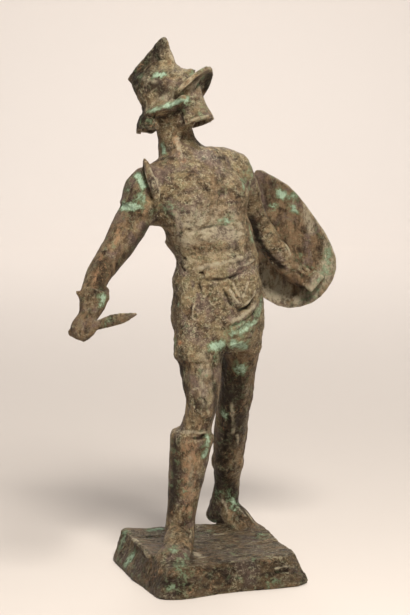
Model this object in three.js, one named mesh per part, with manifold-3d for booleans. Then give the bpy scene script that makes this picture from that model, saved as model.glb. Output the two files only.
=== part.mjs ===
// Gladiator statue: a small hollow bronze, cast in one piece with its rough rectangular base.
// Millimetres, +Z up, origin at the middle of the flat underside, front of the base towards -Y.
//
// The figure is modelled in its viewing frame: x to the viewer's right, y away from the viewer, z up.
// The base is turned into that frame by VIEW_TURN, and the finished casting is turned back.
// A station of a limb is [x, y, z, half width, half depth in front, half depth behind].
// A bulge is [height along the limb, degrees from the front towards the left, rise, degrees wide, tall].

import * as THREE from 'three';
import { mergeVertices } from 'three/addons/utils/BufferGeometryUtils.js';
import Module from 'manifold-3d';

const wasm = await Module();
wasm.setup();

// Directions that the parts face, in degrees to the viewer's right of the viewer
const VIEW_TURN = 22;
const BODY_TURN = 32;
const THIGH_TURN = 25;
const SHIN_TURN = 10;
const LEFT_LEG_TURN = 42;
const NECK_TURN = 42;
const HEAD_TURN = 60;
const HEAD_PITCH = 17;

// Base, in its own frame: outline of the underside and of the upper rim
const BASE_TOP = 26;
const BASE_SIDES = 34;
const BASE_FOOT = [
  [-67, 62], [-71, 10], [-72.5, -44], [-70, -69], [-51, -78], [-6, -73], [69, -75], [81, -10], [84, 58],
  [40, 82], [-54, 86],
];
const BASE_RIM = [
  [-54, 62], [-57, 12], [-63, -38], [-61, -56], [-46, -64], [0, -62], [64, -60], [72, -14], [77, 46],
  [42, 70], [-50, 84],
];
const TOP_LUMPS = [
  [58, 50, 20, 4], [-50, 76, 18, 3.5], [-34, 22, 20, -3], [-34, 60, 16, -2.5], [64, -6, 20, -4],
  [8, 70, 20, 2], [70, 44, 14, 4],
];
const SIDE_LUMPS = [
  [-62, -66, 10, 13, 4], [-34, -70, 12, 10, 4.5], [-12, -68, 12, 9, -2.5], [28, -68, 14, 18, 2.5],
  [66, -70, 6, 12, 3], [-66, 0, 8, 16, 2.5], [-64, 66, 10, 14, 1], [-66, -28, 14, 9, -3],
  [80, 20, 10, 20, 3],
];
const BASE_SIDE_RINGS = [[0.03, 0, 0], [0, 3, 0], [0.45, 11, 0.2], [0.85, 20, 0.7], [1, BASE_TOP, 1]];
const BASE_TOP_RINGS = [[0.92, BASE_TOP + 0.6], [0.66, BASE_TOP - 0.8], [0.3, BASE_TOP - 0.6]];
const RIM_RIDGE = [[-57, 36, 26], [-58, 6, 27.5], [-62, -20, 27.5], [-61, -42, 26.5], [-50, -57, 25]];
const RIM_RIDGE_HALF = 3.4;

// Legs, from the hip down; each foot from its heel to its toes
const LEG_RIGHT = [
  [-4, -2, 258, 22, 22, 24],
  [-4.5, -10, 240, 24, 24, 26],
  [-5.5, -14, 218, 23.5, 24, 24],
  [-4, -17, 202, 19.6, 22, 21],
  [-3, -21, 186, 18, 20, 18],
  [-2.5, -24, 171, 15.5, 17.5, 15],
  [-4, -25, 161, 14, 16.5, 13],
  [-6.5, -22, 147, 14.5, 14, 15],
  [-12, -20, 130, 15, 14, 16],
];
const SHORTS_RIGHT = [
  [-5, -10, 240, 24, 24.5, 26.5],
  [-5.5, -13, 222, 23.5, 25, 25],
  [-5.5, -15, 215, 22.6, 24.5, 24],
  [-5.5, -16, 211, 23.6, 26, 25],
  [-5.2, -16, 206, 23, 25.5, 24.5],
];
const BOOT_RIGHT = [
  [-11, -20, 138.5, 19.5, 18, 17],
  [-11.5, -19.5, 135, 21, 19.5, 18.5],
  [-12.5, -19, 130.5, 20.8, 19.5, 19.5],
  [-13, -18, 127.5, 19.4, 18, 19.5],
  [-16, -13, 106, 18.4, 17, 20],
  [-18, -8, 88, 16.6, 16, 17],
  [-20, -5, 70, 14.6, 15, 14],
  [-22, -3, 54, 13.6, 14, 13],
  [-23, -2, 42, 14.4, 15, 15],
  [-23, -4, 36, 14, 16, 15],
];
const FOOT_RIGHT = [
  [-23, 12, 31, 12.5, 10, 10],
  [-23.5, -6, 35, 15, 16, 12],
  [-25, -24, 33, 15, 13, 10],
  [-27, -42, 30, 15.5, 9.5, 8],
  [-30, -58, 26, 16, 7.5, 9],
  [-29, -69, 20, 14, 7, 9],
  [-27, -75, 12, 10, 6, 8],
];
const LEG_LEFT = [
  [29, 6, 256, 20, 21, 24],
  [32, 10, 232, 21.5, 23, 25],
  [31.5, 15, 213, 18.6, 21, 21],
  [31, 22, 196, 16.6, 18.6, 19],
  [30, 30, 177, 16, 17.5, 17],
  [28.5, 38, 159, 15.8, 17, 15],
  [27, 46, 141, 16, 14, 18],
  [26, 56, 119, 16.5, 13, 20],
  [24.5, 66, 101, 15.5, 12.5, 18],
  [23.6, 69, 95, 15, 12.3, 16.5],
  [23.2, 70, 92, 17, 14.5, 18.5],
  [22.6, 73, 86, 16.8, 14.5, 17.5],
  [22.2, 75, 82.5, 14, 12.4, 14.5],
  [21.5, 79, 73, 13.2, 12, 13],
  [20.5, 85, 58, 13.4, 12, 12],
  [18, 88, 45, 15.5, 13, 13],
  [17, 89, 34, 16.5, 13, 15],
];
const SHORTS_LEFT = [
  [31, 9, 240, 21.5, 23, 25],
  [31.5, 13, 224, 20.8, 23, 24],
  [31.5, 16, 217, 19.6, 22, 23],
  [31.4, 17, 213, 20.6, 23.4, 24],
  [31, 17, 208, 20, 23, 23.5],
];
const FOOT_LEFT = [
  [9, 93, 33, 12, 9, 10],
  [19, 84, 38, 13, 15.5, 12],
  [28, 75, 35.5, 13, 13, 12],
  [35, 67, 33, 13, 9.5, 12],
  [40, 61, 30, 11.5, 6.5, 12],
];

// Trunk and neck, from below
const TRUNK = [
  [14, 3, 211, 34, 26, 28],
  [13.5, 1, 222, 42, 30, 32],
  [13, 0, 238, 44, 32, 34],
  [12.5, 0, 256, 44.5, 31, 33],
  [12, 0, 271, 43, 29.5, 30],
  [12, 0, 285, 39, 28, 27],
  [9, 0, 299, 38.5, 27.5, 26],
  [5.5, -1, 312, 39, 28, 26],
  [0.5, -2, 326, 42, 30.5, 27],
  [-3.5, -2, 343, 45.5, 33, 29],
  [-5, -1, 360, 46, 32, 31],
  [-8, 2, 375, 43, 28, 29],
  [-12, 4, 388, 30, 22, 23],
];
const TRUNK_SHAPE = 2.2;
const TRUNK_BULGES = [
  [354, 36, 4, 24, 14], [354, -36, 4, 24, 14], [350, 0, -2.5, 9, 20],
  [240, 150, 5, 26, 18], [240, -150, 5, 26, 18], [235, 180, -6, 14, 26],
  [320, 180, -4, 13, 50], [356, 138, 4, 20, 14], [356, -138, 4, 20, 14],
];
const TRUNK_BANDS = [[289, 0.24, 8, 3.4], [316, 0.02, 12, 2.4], [333, 0.1, 2.6, -2]];
const SHOULDERS = [
  [-58, -27, 350, 15, 15, 14],
  [-45, -19, 362, 21.5, 19, 18],
  [-25, -8, 371, 23, 22, 21],
  [-4, 3, 374, 23, 21, 20],
  [13, 12, 375.5, 22, 17, 18],
  [27, 20, 374, 19, 15, 16],
  [33.5, 24.5, 367.5, 14.5, 13, 13],
];
const NECK = [
  [-14, 4, 376, 29, 22, 22],
  [-22, 4, 390, 23.5, 19, 19],
  [-26, 3, 402, 18, 17, 17],
  [-29, 1, 415, 16.5, 16, 16],
  [-31, 0, 432, 16, 16, 16],
];
const ARMPIT_RIGHT = [
  [-55, -27, 342, 13, 12, 11],
  [-42, -15, 338, 12, 12, 12],
  [-28, -6, 333, 10, 13, 12],
];

// Arms, from the shoulder down
const ARM_RIGHT = [
  [-50, -22, 356, 17, 16, 16],
  [-61, -30, 341, 16.5, 16, 16],
  [-70, -38, 324, 16, 15.5, 15.5],
  [-80.5, -49, 307, 14, 14, 14.5],
  [-91, -60, 293, 12.2, 13, 12.5],
  [-97.5, -70, 281, 11, 11.5, 11],
  [-100, -79, 268, 10, 10, 10],
  [-102, -85, 256, 8.6, 9, 9],
  [-106, -89, 248, 9, 9, 9],
];
const SLEEVE_RIGHT = [
  [-48, -19, 368, 17.5, 16, 16],
  [-55.5, -24, 358.5, 18.8, 18, 18],
  [-60, -30, 347, 16.8, 18.5, 18],
  [-63.5, -32, 341, 16.6, 17.8, 17.6],
];
const SPIKE = [
  [-51, -27, 374, 8, 4, 4],
  [-52, -30, 382, 5, 3.4, 3.4],
  [-54.5, -33, 389, 1.4, 1.4, 1.4],
];
const STRIP = [
  [-52.5, -36, 386, 3, 3, 3],
  [-50, -43, 376, 4.2, 4, 4],
  [-46, -47, 365, 4.6, 4.5, 4.5],
  [-43, -46, 356, 4.2, 4, 4],
  [-44, -42, 348, 3, 3, 3],
];
const CUFF_RIGHT = [
  [-96.5, -78, 275.5, 11.5, 12, 12],
  [-98.5, -81, 268, 12.2, 11.5, 11.5],
  [-100, -84, 260, 11.5, 10, 10],
  [-102, -87, 253, 9, 8.8, 8.8],
];
const CUFF_WING = [
  [-101, -79, 266, 7, 3.4, 3.4],
  [-106, -80, 270, 6.5, 2.6, 2.6],
  [-113, -80, 275.5, 1.6, 1.4, 1.4],
];
const CUFF_LEAF = [
  [-86, -76, 278, 3, 2.6, 2.6],
  [-87.5, -81, 270, 5.5, 4, 4],
  [-91, -86, 262, 5, 3.6, 3.6],
  [-96, -88, 254, 3, 2.4, 2.4],
];
const FIST = [
  [-102, -86, 255, 8, 8, 8],
  [-105, -90, 249, 10.5, 11, 11],
  [-107, -92, 243, 12, 12, 11],
  [-109, -93, 237.5, 9, 9, 8],
];
const GRIP = [
  [-118.5, -91, 240, 4.6, 4.6, 4.4],
  [-108, -92, 243, 6.5, 6.5, 6],
  [-96, -95, 246, 5, 5, 4.5],
];
const BLADE = [
  [-100, -93, 245.5, 5.6, 2.8, 2.8],
  [-90, -97, 249, 5.8, 2.8, 2.8],
  [-80, -102, 253, 7, 3, 3],
  [-70, -107, 256, 5.8, 2.6, 2.6],
  [-59, -112.5, 260, 1.8, 1.6, 1.6],
];
const ARM_LEFT = [
  [31.5, 22, 369, 13.5, 14, 14],
  [37.5, 31, 358, 13, 13, 13],
  [42, 42, 344, 12, 12, 12],
  [46, 54, 329, 12, 12, 12],
  [57, 64, 309, 13, 12.5, 12],
  [70, 69, 292, 12.5, 11.5, 12],
  [82, 72, 278, 11.5, 10.5, 12],
  [91, 73, 270, 11.5, 10, 12],
  [99, 73, 268, 9, 8.5, 10],
];

// Shield: rim seen from the front as [x, z], starting at the top
const SHIELD_RIM = [
  [49, 371], [62, 366.5], [82, 354.5], [101, 331], [119, 303], [125, 281],
  [116, 257], [102, 244], [77, 238], [54, 248], [36, 270], [29, 302], [33, 340],
];
const SHIELD_CENTRE = [76, 80, 303];
const SHIELD_SLOPE = -0.37;
const SHIELD_DISH = 17;
const SHIELD_WALL = 4;
const SHIELD_SIDES = 28;
const SHIELD_RINGS = [0.26, 0.52, 0.76];
// Bronze that fills the dish beyond the arm, outwards from the arm's line as [x, z]
const FILL_LINE = [[46, 329], [103, 267]];
const FILL_FROM = -15;
const FILL_TO = 2;
const FILL_SHARE = 0.75;
const FILL_RISE = 10;
const FILL_WIDE = 20;
// Shares of the arm's line between which the filling runs out past the hand
const FILL_END = [0.96, 1.16];

// Helmet and head, in the head's own frame: the face towards -y, z up from the middle of the cap
const HEAD_MIDDLE = [-37, 0, 452];
const CAP = [
  [0, 0, -26, 23, 27, 22],
  [0, 0, -16, 24.5, 32, 24.5],
  [0, 0, -8, 25, 35, 26],
  [0, 0, 0, 25, 36, 28.5],
  [0, 0, 6, 23, 30, 31],
  [0, 0, 12, 18, 21, 32],
  [0, 0, 17, 12.5, 15, 29],
  [0, 0, 21, 7, 11, 20],
];
const JAW = [
  [0, 0, -12, 18, 31, 20],
  [0, 0, -30, 15.5, 30, 17],
  [0, 0, -38, 13, 25, 13],
  [0, 0, -46, 8, 14, 8],
];
const VISOR = { across: 20, fore: 33.6, low: -42, high: -10, fromTurn: -50, toTurn: 84, lip: 4.2 };
// Share of the visor over which its near end is drawn in to the cheek, and how far
const VISOR_TUCK_SPAN = 0.26;
const VISOR_TUCK = 0.13;
const CREST = [
  [-33, 10], [-36, 17], [-21, 27], [-5, 34.5], [10, 42.3], [14, 42.5], [16, 37], [16, 28], [18, 18],
  [8, 10], [-20, 4],
];
const CREST_HALF = 3.6;
const CREST_BEVEL = 1.2;
const BROW_SPAN = [-54, 72];
const BAND_FROM = 52;
const BAND_STEPS = 9;
const BAND_AT = { across: 27, fore: 34, aft: 25.5, low: -23.5, high: -20.5 };
const BAND_END = [-24, -32, -18.5];
const BAND_HALF = [4.4, 3.4, 3.2];
const FACE = { across: 24.5, fore: 34, aft: 28 };
const PLATE = 4;
const BROW_REACH = [0.12, 0.48];
const BROW_ROOT = [-18, -2];
const BROW_EDGE = [-21.5, 3];
const BROW_ROLL_TURNS = [-54, -34, -10, 15];
const BROW_ROLL_RISE = [-6, 6];
const BROW_ROLL_HALF = [3, 2.4];
const GUARD_SPAN = [100, 264];
const GUARD_TOP = -19;
const GUARD_BACK = 21;
const GUARD_DROP = 19;
const GUARD_LIFT = 4;
const GUARD_FLARE = [5, 14];
const GUARD_THICK = 5;
const GUARD_WAVE = { rise: 2.4, middle: 257, period: 48 };
// Degrees over which the near end of the guard is drawn in to the neck, and how far
const GUARD_TUCK_SPAN = [236, 284];
const GUARD_TUCK = 0.42;

// Strokes laid on the form where lines of sight meet it: [x, z] spots, half width and rise
const STROKES = [
  [[[19, 231], [30, 238], [40, 246], [46, 258]], 4.5, 3],
  [[[20, 219], [30, 223], [40, 228], [47, 234]], 4.5, 3],
  [[[-26, 240], [-10, 233], [4, 228], [14, 219]], 4, 2.4],
  [[[-28, 262], [-12, 254], [2, 243], [12, 229]], 4, 2.2],
  [[[19, 277], [24, 265], [30, 256], [36, 253]], 3, 2.8],
  [[[36, 253], [41, 258], [46, 267], [49, 277]], 3, 2.8],
  [[[-33, 408], [-29, 399], [-24, 388], [-19, 380]], 4.5, 3],
  [[[-14, 381], [0, 384], [14, 384], [25, 380]], 4, 1.8],
];

// Cloth gathered over the front of the belt, from its top down: [x, z] spots, half widths, half depth
const GATHER_SPOTS = [[36, 282], [35, 270], [34, 258]];
const GATHER_HALVES = [15, 13, 6];
const GATHER_DEPTH = 6.5;
const GATHER_SINK = 2;
const SIDE_KNOT = [
  [-25, -12, 318, 8, 8, 8],
  [-29, -11, 311, 9, 9, 9],
  [-26, -10, 305, 6, 6, 6],
];

// Fingers of the left hand, side by side from the first to the last
const FINGERS = 4;
const FINGER_FIRST = [93, 63, 264];
const FINGER_LAST = [103, 63, 275];
const FINGER_WAY = [0.8, 0, -0.6];
const FINGER_LENGTH = 10;
const FINGER_HALF = 3;

const UP = new THREE.Vector3(0, 0, 1);
const TOWARDS_VIEWER = new THREE.Vector3(0, -1, 0);
const radians = THREE.MathUtils.degToRad;

/** Level direction that is turned from the viewer's to the viewer's right by an angle in degrees. */
function heading(turn) {
  return new THREE.Vector3(Math.sin(radians(turn)), -Math.cos(radians(turn)), 0);
}

/** Value between the entries of a list, read smoothly at a place counted in entries. */
function between(values, place) {
  const last = values.length - 1;
  const i = Math.min(Math.max(Math.floor(place), 0), last - 1);
  const f = place - i;
  const [a, b, c, d] = [i - 1, i, i + 1, i + 2].map((k) => values[Math.min(Math.max(k, 0), last)]);
  return b + f * ((c - a) / 2 + f * (a - 2.5 * b + 2 * c - d / 2 + f * ((3 * b - a - 3 * c + d) / 2)));
}

/** Lists of each of the numbers of a row of stations. */
const columnsOf = (stations) => stations[0].map((_, k) => stations.map((station) => station[k]));

/** Indexed geometry of points and triangles. */
function mesh(positions, triangles) {
  const geometry = new THREE.BufferGeometry();
  geometry.setAttribute('position', new THREE.Float32BufferAttribute(positions, 3));
  geometry.setIndex(triangles);
  return geometry;
}

/** Closed surface through rings of equal length, with a fan at each end. */
function skin(rings) {
  const sides = rings[0].length;
  const positions = rings.flat().flatMap((p) => [p.x, p.y, p.z]);
  const triangles = [];
  const first = rings.length * sides;
  const end = first - sides;
  for (const ring of [rings[0], rings.at(-1)]) {
    const hub = ring.reduce((sum, p) => sum.add(p), new THREE.Vector3()).divideScalar(sides);
    positions.push(hub.x, hub.y, hub.z);
  }
  for (let i = 0; i < sides; i += 1) {
    const j = (i + 1) % sides;
    triangles.push(first, j, i, first + 1, end + i, end + j);
    for (let r = 0; r < rings.length - 1; r += 1) {
      const low = r * sides;
      const high = low + sides;
      if (rings[r][i].distanceTo(rings[r + 1][j]) < rings[r][j].distanceTo(rings[r + 1][i])) {
        triangles.push(low + i, low + j, high + j, low + i, high + j, high + i);
      } else {
        triangles.push(low + i, low + j, high + i, low + j, high + j, high + i);
      }
    }
  }
  return mesh(positions, triangles);
}

/** Signed volume of a closed surface. */
function volume(geometry) {
  const p = geometry.getAttribute('position');
  const index = geometry.getIndex();
  const [a, b, c] = [0, 1, 2].map(() => new THREE.Vector3());
  let sum = 0;
  for (let i = 0; i < index.count; i += 3) {
    a.fromBufferAttribute(p, index.getX(i));
    b.fromBufferAttribute(p, index.getX(i + 1));
    c.fromBufferAttribute(p, index.getX(i + 2));
    sum += a.dot(b.cross(c)) / 6;
  }
  return sum;
}

/** Solid body of a closed surface, whichever way its faces are wound. */
function solid(geometry) {
  const bare = geometry.clone();
  bare.deleteAttribute('normal');
  bare.deleteAttribute('uv');
  const merged = mergeVertices(bare, 1e-4);
  const triVerts = Uint32Array.from(merged.getIndex().array);
  if (volume(merged) < 0) {
    for (let i = 0; i < triVerts.length; i += 3) {
      [triVerts[i], triVerts[i + 1]] = [triVerts[i + 1], triVerts[i]];
    }
  }
  const vertProperties = Float32Array.from(merged.getAttribute('position').array);
  return new wasm.Manifold(new wasm.Mesh({ numProp: 3, vertProperties, triVerts }));
}

/** Geometry of a solid body. */
function surface(body) {
  const { vertProperties, triVerts } = body.getMesh();
  return mesh(vertProperties, Array.from(triVerts));
}

/** Whole of a body and more surfaces. */
const join = (body, pieces) => pieces.reduce((whole, piece) => whole.add(solid(piece)), body);

/** Rise of a point of a limb over its plain section. */
function riseOf(bulges, height, degrees) {
  return bulges.reduce((sum, [at, turn, rise, wide, tall]) => {
    const off = THREE.MathUtils.euclideanModulo(degrees - turn + 180, 360) - 180;
    return sum + rise * Math.exp(-((off / wide) ** 2) - ((height - at) / tall) ** 2);
  }, 0);
}

/** Rise of level or sloping bands, each [height at the middle, slope to the right, half height, rise]. */
function bandOf(bands, x, z) {
  return bands.reduce((sum, [height, slope, half, rise]) => (
    sum + rise * Math.exp(-(((z - height - slope * x) / half) ** 4))), 0);
}

/**
 * Rounded form along its stations, whose half depth in front points in the facing direction.
 * round gives how far each end is domed, as a share of its half width; 0 leaves it flat.
 */
function limb(stations, options) {
  const { facing, rows, sides = 12, round = [0.5, 0.5], shape = 2 } = options;
  const { level = false, bulges = [], bands = [] } = options;
  const last = stations.length - 1;
  const columns = columnsOf(stations);
  const rising = columns[2][last] > columns[2][0];
  const centre = (place) => new THREE.Vector3(...[0, 1, 2].map((k) => between(columns[k], place)));
  const ring = (place, scale, shift) => {
    const ahead = centre(Math.min(place + 0.05, last)).sub(centre(Math.max(place - 0.05, 0)));
    const along = level ? UP.clone() : ahead.normalize();
    const front = facing.clone().addScaledVector(along, -facing.dot(along)).normalize();
    const left = along.clone().cross(front).multiplyScalar(rising || level ? 1 : -1);
    const middle = centre(place).addScaledVector(along, level && !rising ? -shift : shift);
    const [across, fore, aft] = [3, 4, 5].map((k) => between(columns[k], place) * scale);
    return Array.from({ length: sides }, (_, i) => {
      const angle = (i / sides) * 2 * Math.PI;
      const [c, s] = [Math.cos(angle), Math.sin(angle)];
      const aside = (c * front.x + s * left.x) * across;
      const bulge = riseOf(bulges, middle.z, THREE.MathUtils.radToDeg(angle));
      const rise = (bulge + bandOf(bands, aside, middle.z)) * scale;
      const depth = Math.sign(c) * Math.abs(c) ** (2 / shape) * (c > 0 ? fore : aft) + c * rise;
      const width = Math.sign(s) * Math.abs(s) ** (2 / shape) * across + s * rise;
      return middle.clone().addScaledVector(front, depth).addScaledVector(left, width);
    });
  };
  const turns = sides > 12 ? [78, 45] : [55];
  const dome = (place, share, sign) => {
    if (share === 0) return [];
    const reach = between(columns[3], place) * share * sign;
    return turns.map((turn) => ring(place, Math.cos(radians(turn)), reach * Math.sin(radians(turn))));
  };
  const count = rows ?? last;
  const trunk = Array.from({ length: count + 1 }, (_, i) => ring((i / count) * last, 1, 0));
  return skin([...dome(0, round[0], -1), ...trunk, ...dome(last, round[1], 1).reverse()]);
}

/** Thin curved plate about the surface pointAt(across, down), both from 0 to 1. */
function plate(pointAt, { columns, rows, thick }) {
  const step = 1e-3;
  const offset = (a, d, distance) => {
    const along = pointAt(Math.min(a + step, 1), d).sub(pointAt(Math.max(a - step, 0), d));
    const down = pointAt(a, Math.min(d + step, 1)).sub(pointAt(a, Math.max(d - step, 0)));
    return pointAt(a, d).addScaledVector(along.cross(down).normalize(), distance);
  };
  const rings = Array.from({ length: columns + 1 }, (_, c) => {
    const front = Array.from({ length: rows + 1 }, (__, r) => offset(c / columns, r / rows, thick / 2));
    const back = Array.from({ length: rows + 1 }, (__, r) => offset(c / columns, 1 - r / rows, -thick / 2));
    return [...front, ...back];
  });
  return skin(rings);
}

/** Points on a body where level lines of sight through [x, z] first meet it. */
function laid(body, spots) {
  const target = new THREE.Mesh(surface(body), new THREE.MeshBasicMaterial());
  const ray = new THREE.Raycaster();
  return spots.map(([x, z]) => {
    ray.set(new THREE.Vector3(x, -500, z), TOWARDS_VIEWER.clone().negate());
    const hit = ray.intersectObject(target)[0];
    if (!hit) throw new Error(`nothing to lie on at ${x}, ${z}`);
    return hit.point;
  });
}

/** Roll of bronze along points, tapered at both ends. */
function roll(points, wide, high, { facing = TOWARDS_VIEWER, sides = 6, taper = 0.3 } = {}) {
  const last = points.length - 1;
  const stations = points.map((p, i) => {
    const swell = taper + (1 - taper) * Math.sin((Math.PI * i) / last);
    return [p.x, p.y, p.z, wide * swell, high * swell, high * swell];
  });
  return limb(stations, { facing, sides, round: [0, 0] });
}

/** Short rolls side by side: the fingers that lie on the shield. */
function fingers() {
  const way = new THREE.Vector3(...FINGER_WAY);
  const [first, last] = [FINGER_FIRST, FINGER_LAST].map((p) => new THREE.Vector3(...p));
  return Array.from({ length: FINGERS }, (_, i) => {
    const knuckle = first.clone().lerp(last, i / (FINGERS - 1));
    const stations = [0, 1].map((share) => {
      const p = knuckle.clone().addScaledVector(way, share * FINGER_LENGTH);
      return [p.x, p.y, p.z, FINGER_HALF, FINGER_HALF, FINGER_HALF];
    });
    return limb(stations, { facing: TOWARDS_VIEWER, sides: 6, round: [0.6, 0.6] });
  });
}

/** Rough slab with sloping sides, in its own frame. */
function base() {
  const outline = (corners) => {
    const points = corners.map(([x, y]) => new THREE.Vector3(x, y, 0));
    const path = new THREE.CatmullRomCurve3(points, true, 'catmullrom', 0.35);
    return Array.from({ length: BASE_SIDES }, (_, i) => path.getPoint(i / BASE_SIDES));
  };
  const foot = outline(BASE_FOOT);
  const rim = outline(BASE_RIM);
  const topLump = (q) => TOP_LUMPS.reduce((sum, [x, y, wide, high]) => (
    sum + high * Math.exp(-(((q.x - x) / wide) ** 2) - ((q.y - y) / wide) ** 2)), 0);
  const sideLump = (q) => SIDE_LUMPS.reduce((sum, [x, y, z, wide, rise]) => (
    sum + rise * Math.exp(-q.distanceToSquared(new THREE.Vector3(x, y, z)) / wide ** 2)), 0);
  const side = (share, z, relief) => foot.map((p, i) => {
    const q = p.clone().lerp(rim[i], share).setZ(z + relief * topLump(p));
    const out = q.clone().setZ(0).normalize();
    return q.addScaledVector(out, z > 0 && relief < 1 ? sideLump(q) : 0);
  });
  const top = (share, z) => rim.map((p) => {
    const q = p.clone().multiplyScalar(share);
    return q.setZ(z + topLump(q));
  });
  const slab = skin([
    ...BASE_SIDE_RINGS.map(([share, z, relief]) => side(share, z, relief)),
    ...BASE_TOP_RINGS.map(([share, z]) => top(share, z)),
  ]);
  const ridgeLine = RIM_RIDGE.map((p) => new THREE.Vector3(...p));
  const ridge = roll(ridgeLine, RIM_RIDGE_HALF, RIM_RIDGE_HALF, { facing: UP });
  return [slab, ridge].map((geometry) => geometry.rotateZ(radians(VIEW_TURN)));
}

/** Shield: an oval dish with its hollow towards the viewer. */
function shield() {
  const [cx, cy, cz] = SHIELD_CENTRE;
  const rim = new THREE.CatmullRomCurve3(SHIELD_RIM.map(([x, z]) => new THREE.Vector3(x, 0, z)), true);
  const edge = Array.from({ length: SHIELD_SIDES }, (_, i) => rim.getPoint(i / SHIELD_SIDES));
  const [[ax, az], [bx, bz]] = FILL_LINE;
  const length = Math.hypot(bx - ax, bz - az);
  const filled = (x, z) => {
    const off = ((x - ax) * (az - bz) + (z - az) * (bx - ax)) / length;
    const along = ((x - ax) * (bx - ax) + (z - az) * (bz - az)) / length ** 2;
    const beyond = THREE.MathUtils.smoothstep(off, FILL_FROM, FILL_TO);
    const kept = 1 - THREE.MathUtils.smoothstep(along, ...FILL_END);
    return beyond * kept * (FILL_SHARE + (FILL_RISE / SHIELD_DISH) * Math.exp(-((off / FILL_WIDE) ** 2)));
  };
  const ring = (share, back, fill = 0) => edge.map((p) => {
    const [x, z] = [cx + (p.x - cx) * share, cz + (p.z - cz) * share];
    const sink = SHIELD_DISH * (1 - share ** 2.4) * (1 - fill * filled(x, z));
    return new THREE.Vector3(x, cy + (x - cx) * SHIELD_SLOPE + sink + back, z);
  });
  const inner = SHIELD_RINGS.map((share) => ring(share, 0, 1));
  const outer = SHIELD_RINGS.slice(1).map((share) => ring(share, SHIELD_WALL)).reverse();
  return skin([...inner, ring(0.97, -1.4), ring(1, 0.4), ring(0.99, SHIELD_WALL), ...outer]);
}

/** Helmet with its closed visor, turned and pitched onto the neck. */
function head() {
  const around = (angle, across, fore, aft, z) => {
    const depth = Math.cos(angle) > 0 ? fore : aft;
    return new THREE.Vector3(Math.sin(angle) * across, -Math.cos(angle) * depth, z);
  };
  const level = { facing: TOWARDS_VIEWER, level: true };
  const cap = limb(CAP, { ...level, sides: 18, rows: 7, round: [0, 0.2] });
  const jaw = limb(JAW, { ...level, round: [0, 0.3] });
  const visor = plate((a, d) => {
    const angle = radians(THREE.MathUtils.lerp(VISOR.fromTurn, VISOR.toTurn, a));
    const free = THREE.MathUtils.smoothstep(a, 0, VISOR_TUCK_SPAN);
    const flare = VISOR.lip * Math.max(0, 2 * d - 1) * free;
    const p = around(angle, VISOR.across + flare, VISOR.fore + flare, VISOR.fore, 0);
    return p.multiplyScalar(1 - VISOR_TUCK * (1 - free)).setZ(THREE.MathUtils.lerp(VISOR.high, VISOR.low, d));
  }, { columns: 9, rows: 2, thick: PLATE });
  const fin = new THREE.Shape(CREST.map(([f, u]) => new THREE.Vector2(f, u)));
  const crest = new THREE.ExtrudeGeometry(fin, {
    depth: CREST_HALF,
    steps: 1,
    bevelThickness: CREST_HALF / 2,
    bevelSize: CREST_BEVEL,
    bevelOffset: -CREST_BEVEL,
    bevelSegments: 1,
  });
  crest.translate(0, 0, -CREST_HALF / 2);
  crest.applyMatrix4(new THREE.Matrix4().makeBasis(
    TOWARDS_VIEWER, UP, new THREE.Vector3(-1, 0, 0)));
  const bandTurn = 360 - 2 * BAND_FROM;
  const arc = Array.from({ length: BAND_STEPS }, (_, i) => {
    const angle = radians(BAND_FROM + (i / (BAND_STEPS - 1)) * bandTurn);
    const ahead = (1 + Math.cos(angle)) / 2;
    const z = THREE.MathUtils.lerp(BAND_AT.low, BAND_AT.high, ahead);
    return around(angle, BAND_AT.across, BAND_AT.fore, BAND_AT.aft, z);
  });
  const bandEnd = new THREE.Vector3(...BAND_END);
  const band = limb([...arc, bandEnd].map((p) => [p.x, p.y, p.z, ...BAND_HALF]), {
    facing: UP, sides: 6, shape: 3, round: [0, 0],
  });
  const brim = plate((a, d) => {
    const angle = radians(THREE.MathUtils.lerp(...BROW_SPAN, a));
    const rise = Math.cos(angle) ** 2;
    const reach = THREE.MathUtils.lerp(...BROW_REACH, Math.cos(angle));
    const low = THREE.MathUtils.lerp(...BROW_ROOT, rise);
    const high = THREE.MathUtils.lerp(...BROW_EDGE, rise);
    const p = around(angle, FACE.across, FACE.fore, FACE.aft, 0).multiplyScalar(1 + d * reach);
    return p.setZ(THREE.MathUtils.lerp(low, high, d));
  }, { columns: 10, rows: 1, thick: PLATE });
  const guard = plate((a, d) => {
    const turn = THREE.MathUtils.lerp(...GUARD_SPAN, a);
    const angle = radians(turn);
    const spread = d ** 0.5;
    const wave = GUARD_WAVE.rise * Math.cos((2 * Math.PI * (turn - GUARD_WAVE.middle)) / GUARD_WAVE.period);
    const drop = GUARD_DROP + GUARD_LIFT * Math.min(Math.cos(angle), 0) + wave;
    const [across, aft] = [FACE.across + GUARD_FLARE[0] * spread, GUARD_BACK + GUARD_FLARE[1] * spread];
    const tuck = 1 - GUARD_TUCK * THREE.MathUtils.smoothstep(turn, ...GUARD_TUCK_SPAN) * d;
    const p = around(angle, across, FACE.aft, aft, 0).multiplyScalar(tuck);
    return p.setZ(GUARD_TOP - d * drop);
  }, { columns: 11, rows: 2, thick: GUARD_THICK });
  const browRoll = roll(BROW_ROLL_TURNS.map((turn) => {
    const angle = radians(turn);
    const z = THREE.MathUtils.lerp(...BROW_ROLL_RISE, Math.cos(angle) ** 2);
    return around(angle, FACE.across, FACE.fore, FACE.aft, z);
  }), ...BROW_ROLL_HALF, { facing: UP });
  const place = new THREE.Matrix4().makeBasis(
    UP.clone().cross(heading(HEAD_TURN)), heading(HEAD_TURN).negate(), UP);
  place.multiply(new THREE.Matrix4().makeRotationX(-radians(HEAD_PITCH))).setPosition(...HEAD_MIDDLE);
  return [cap, jaw, visor, crest, band, brim, guard, browRoll].map((piece) => piece.applyMatrix4(place));
}

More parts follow.
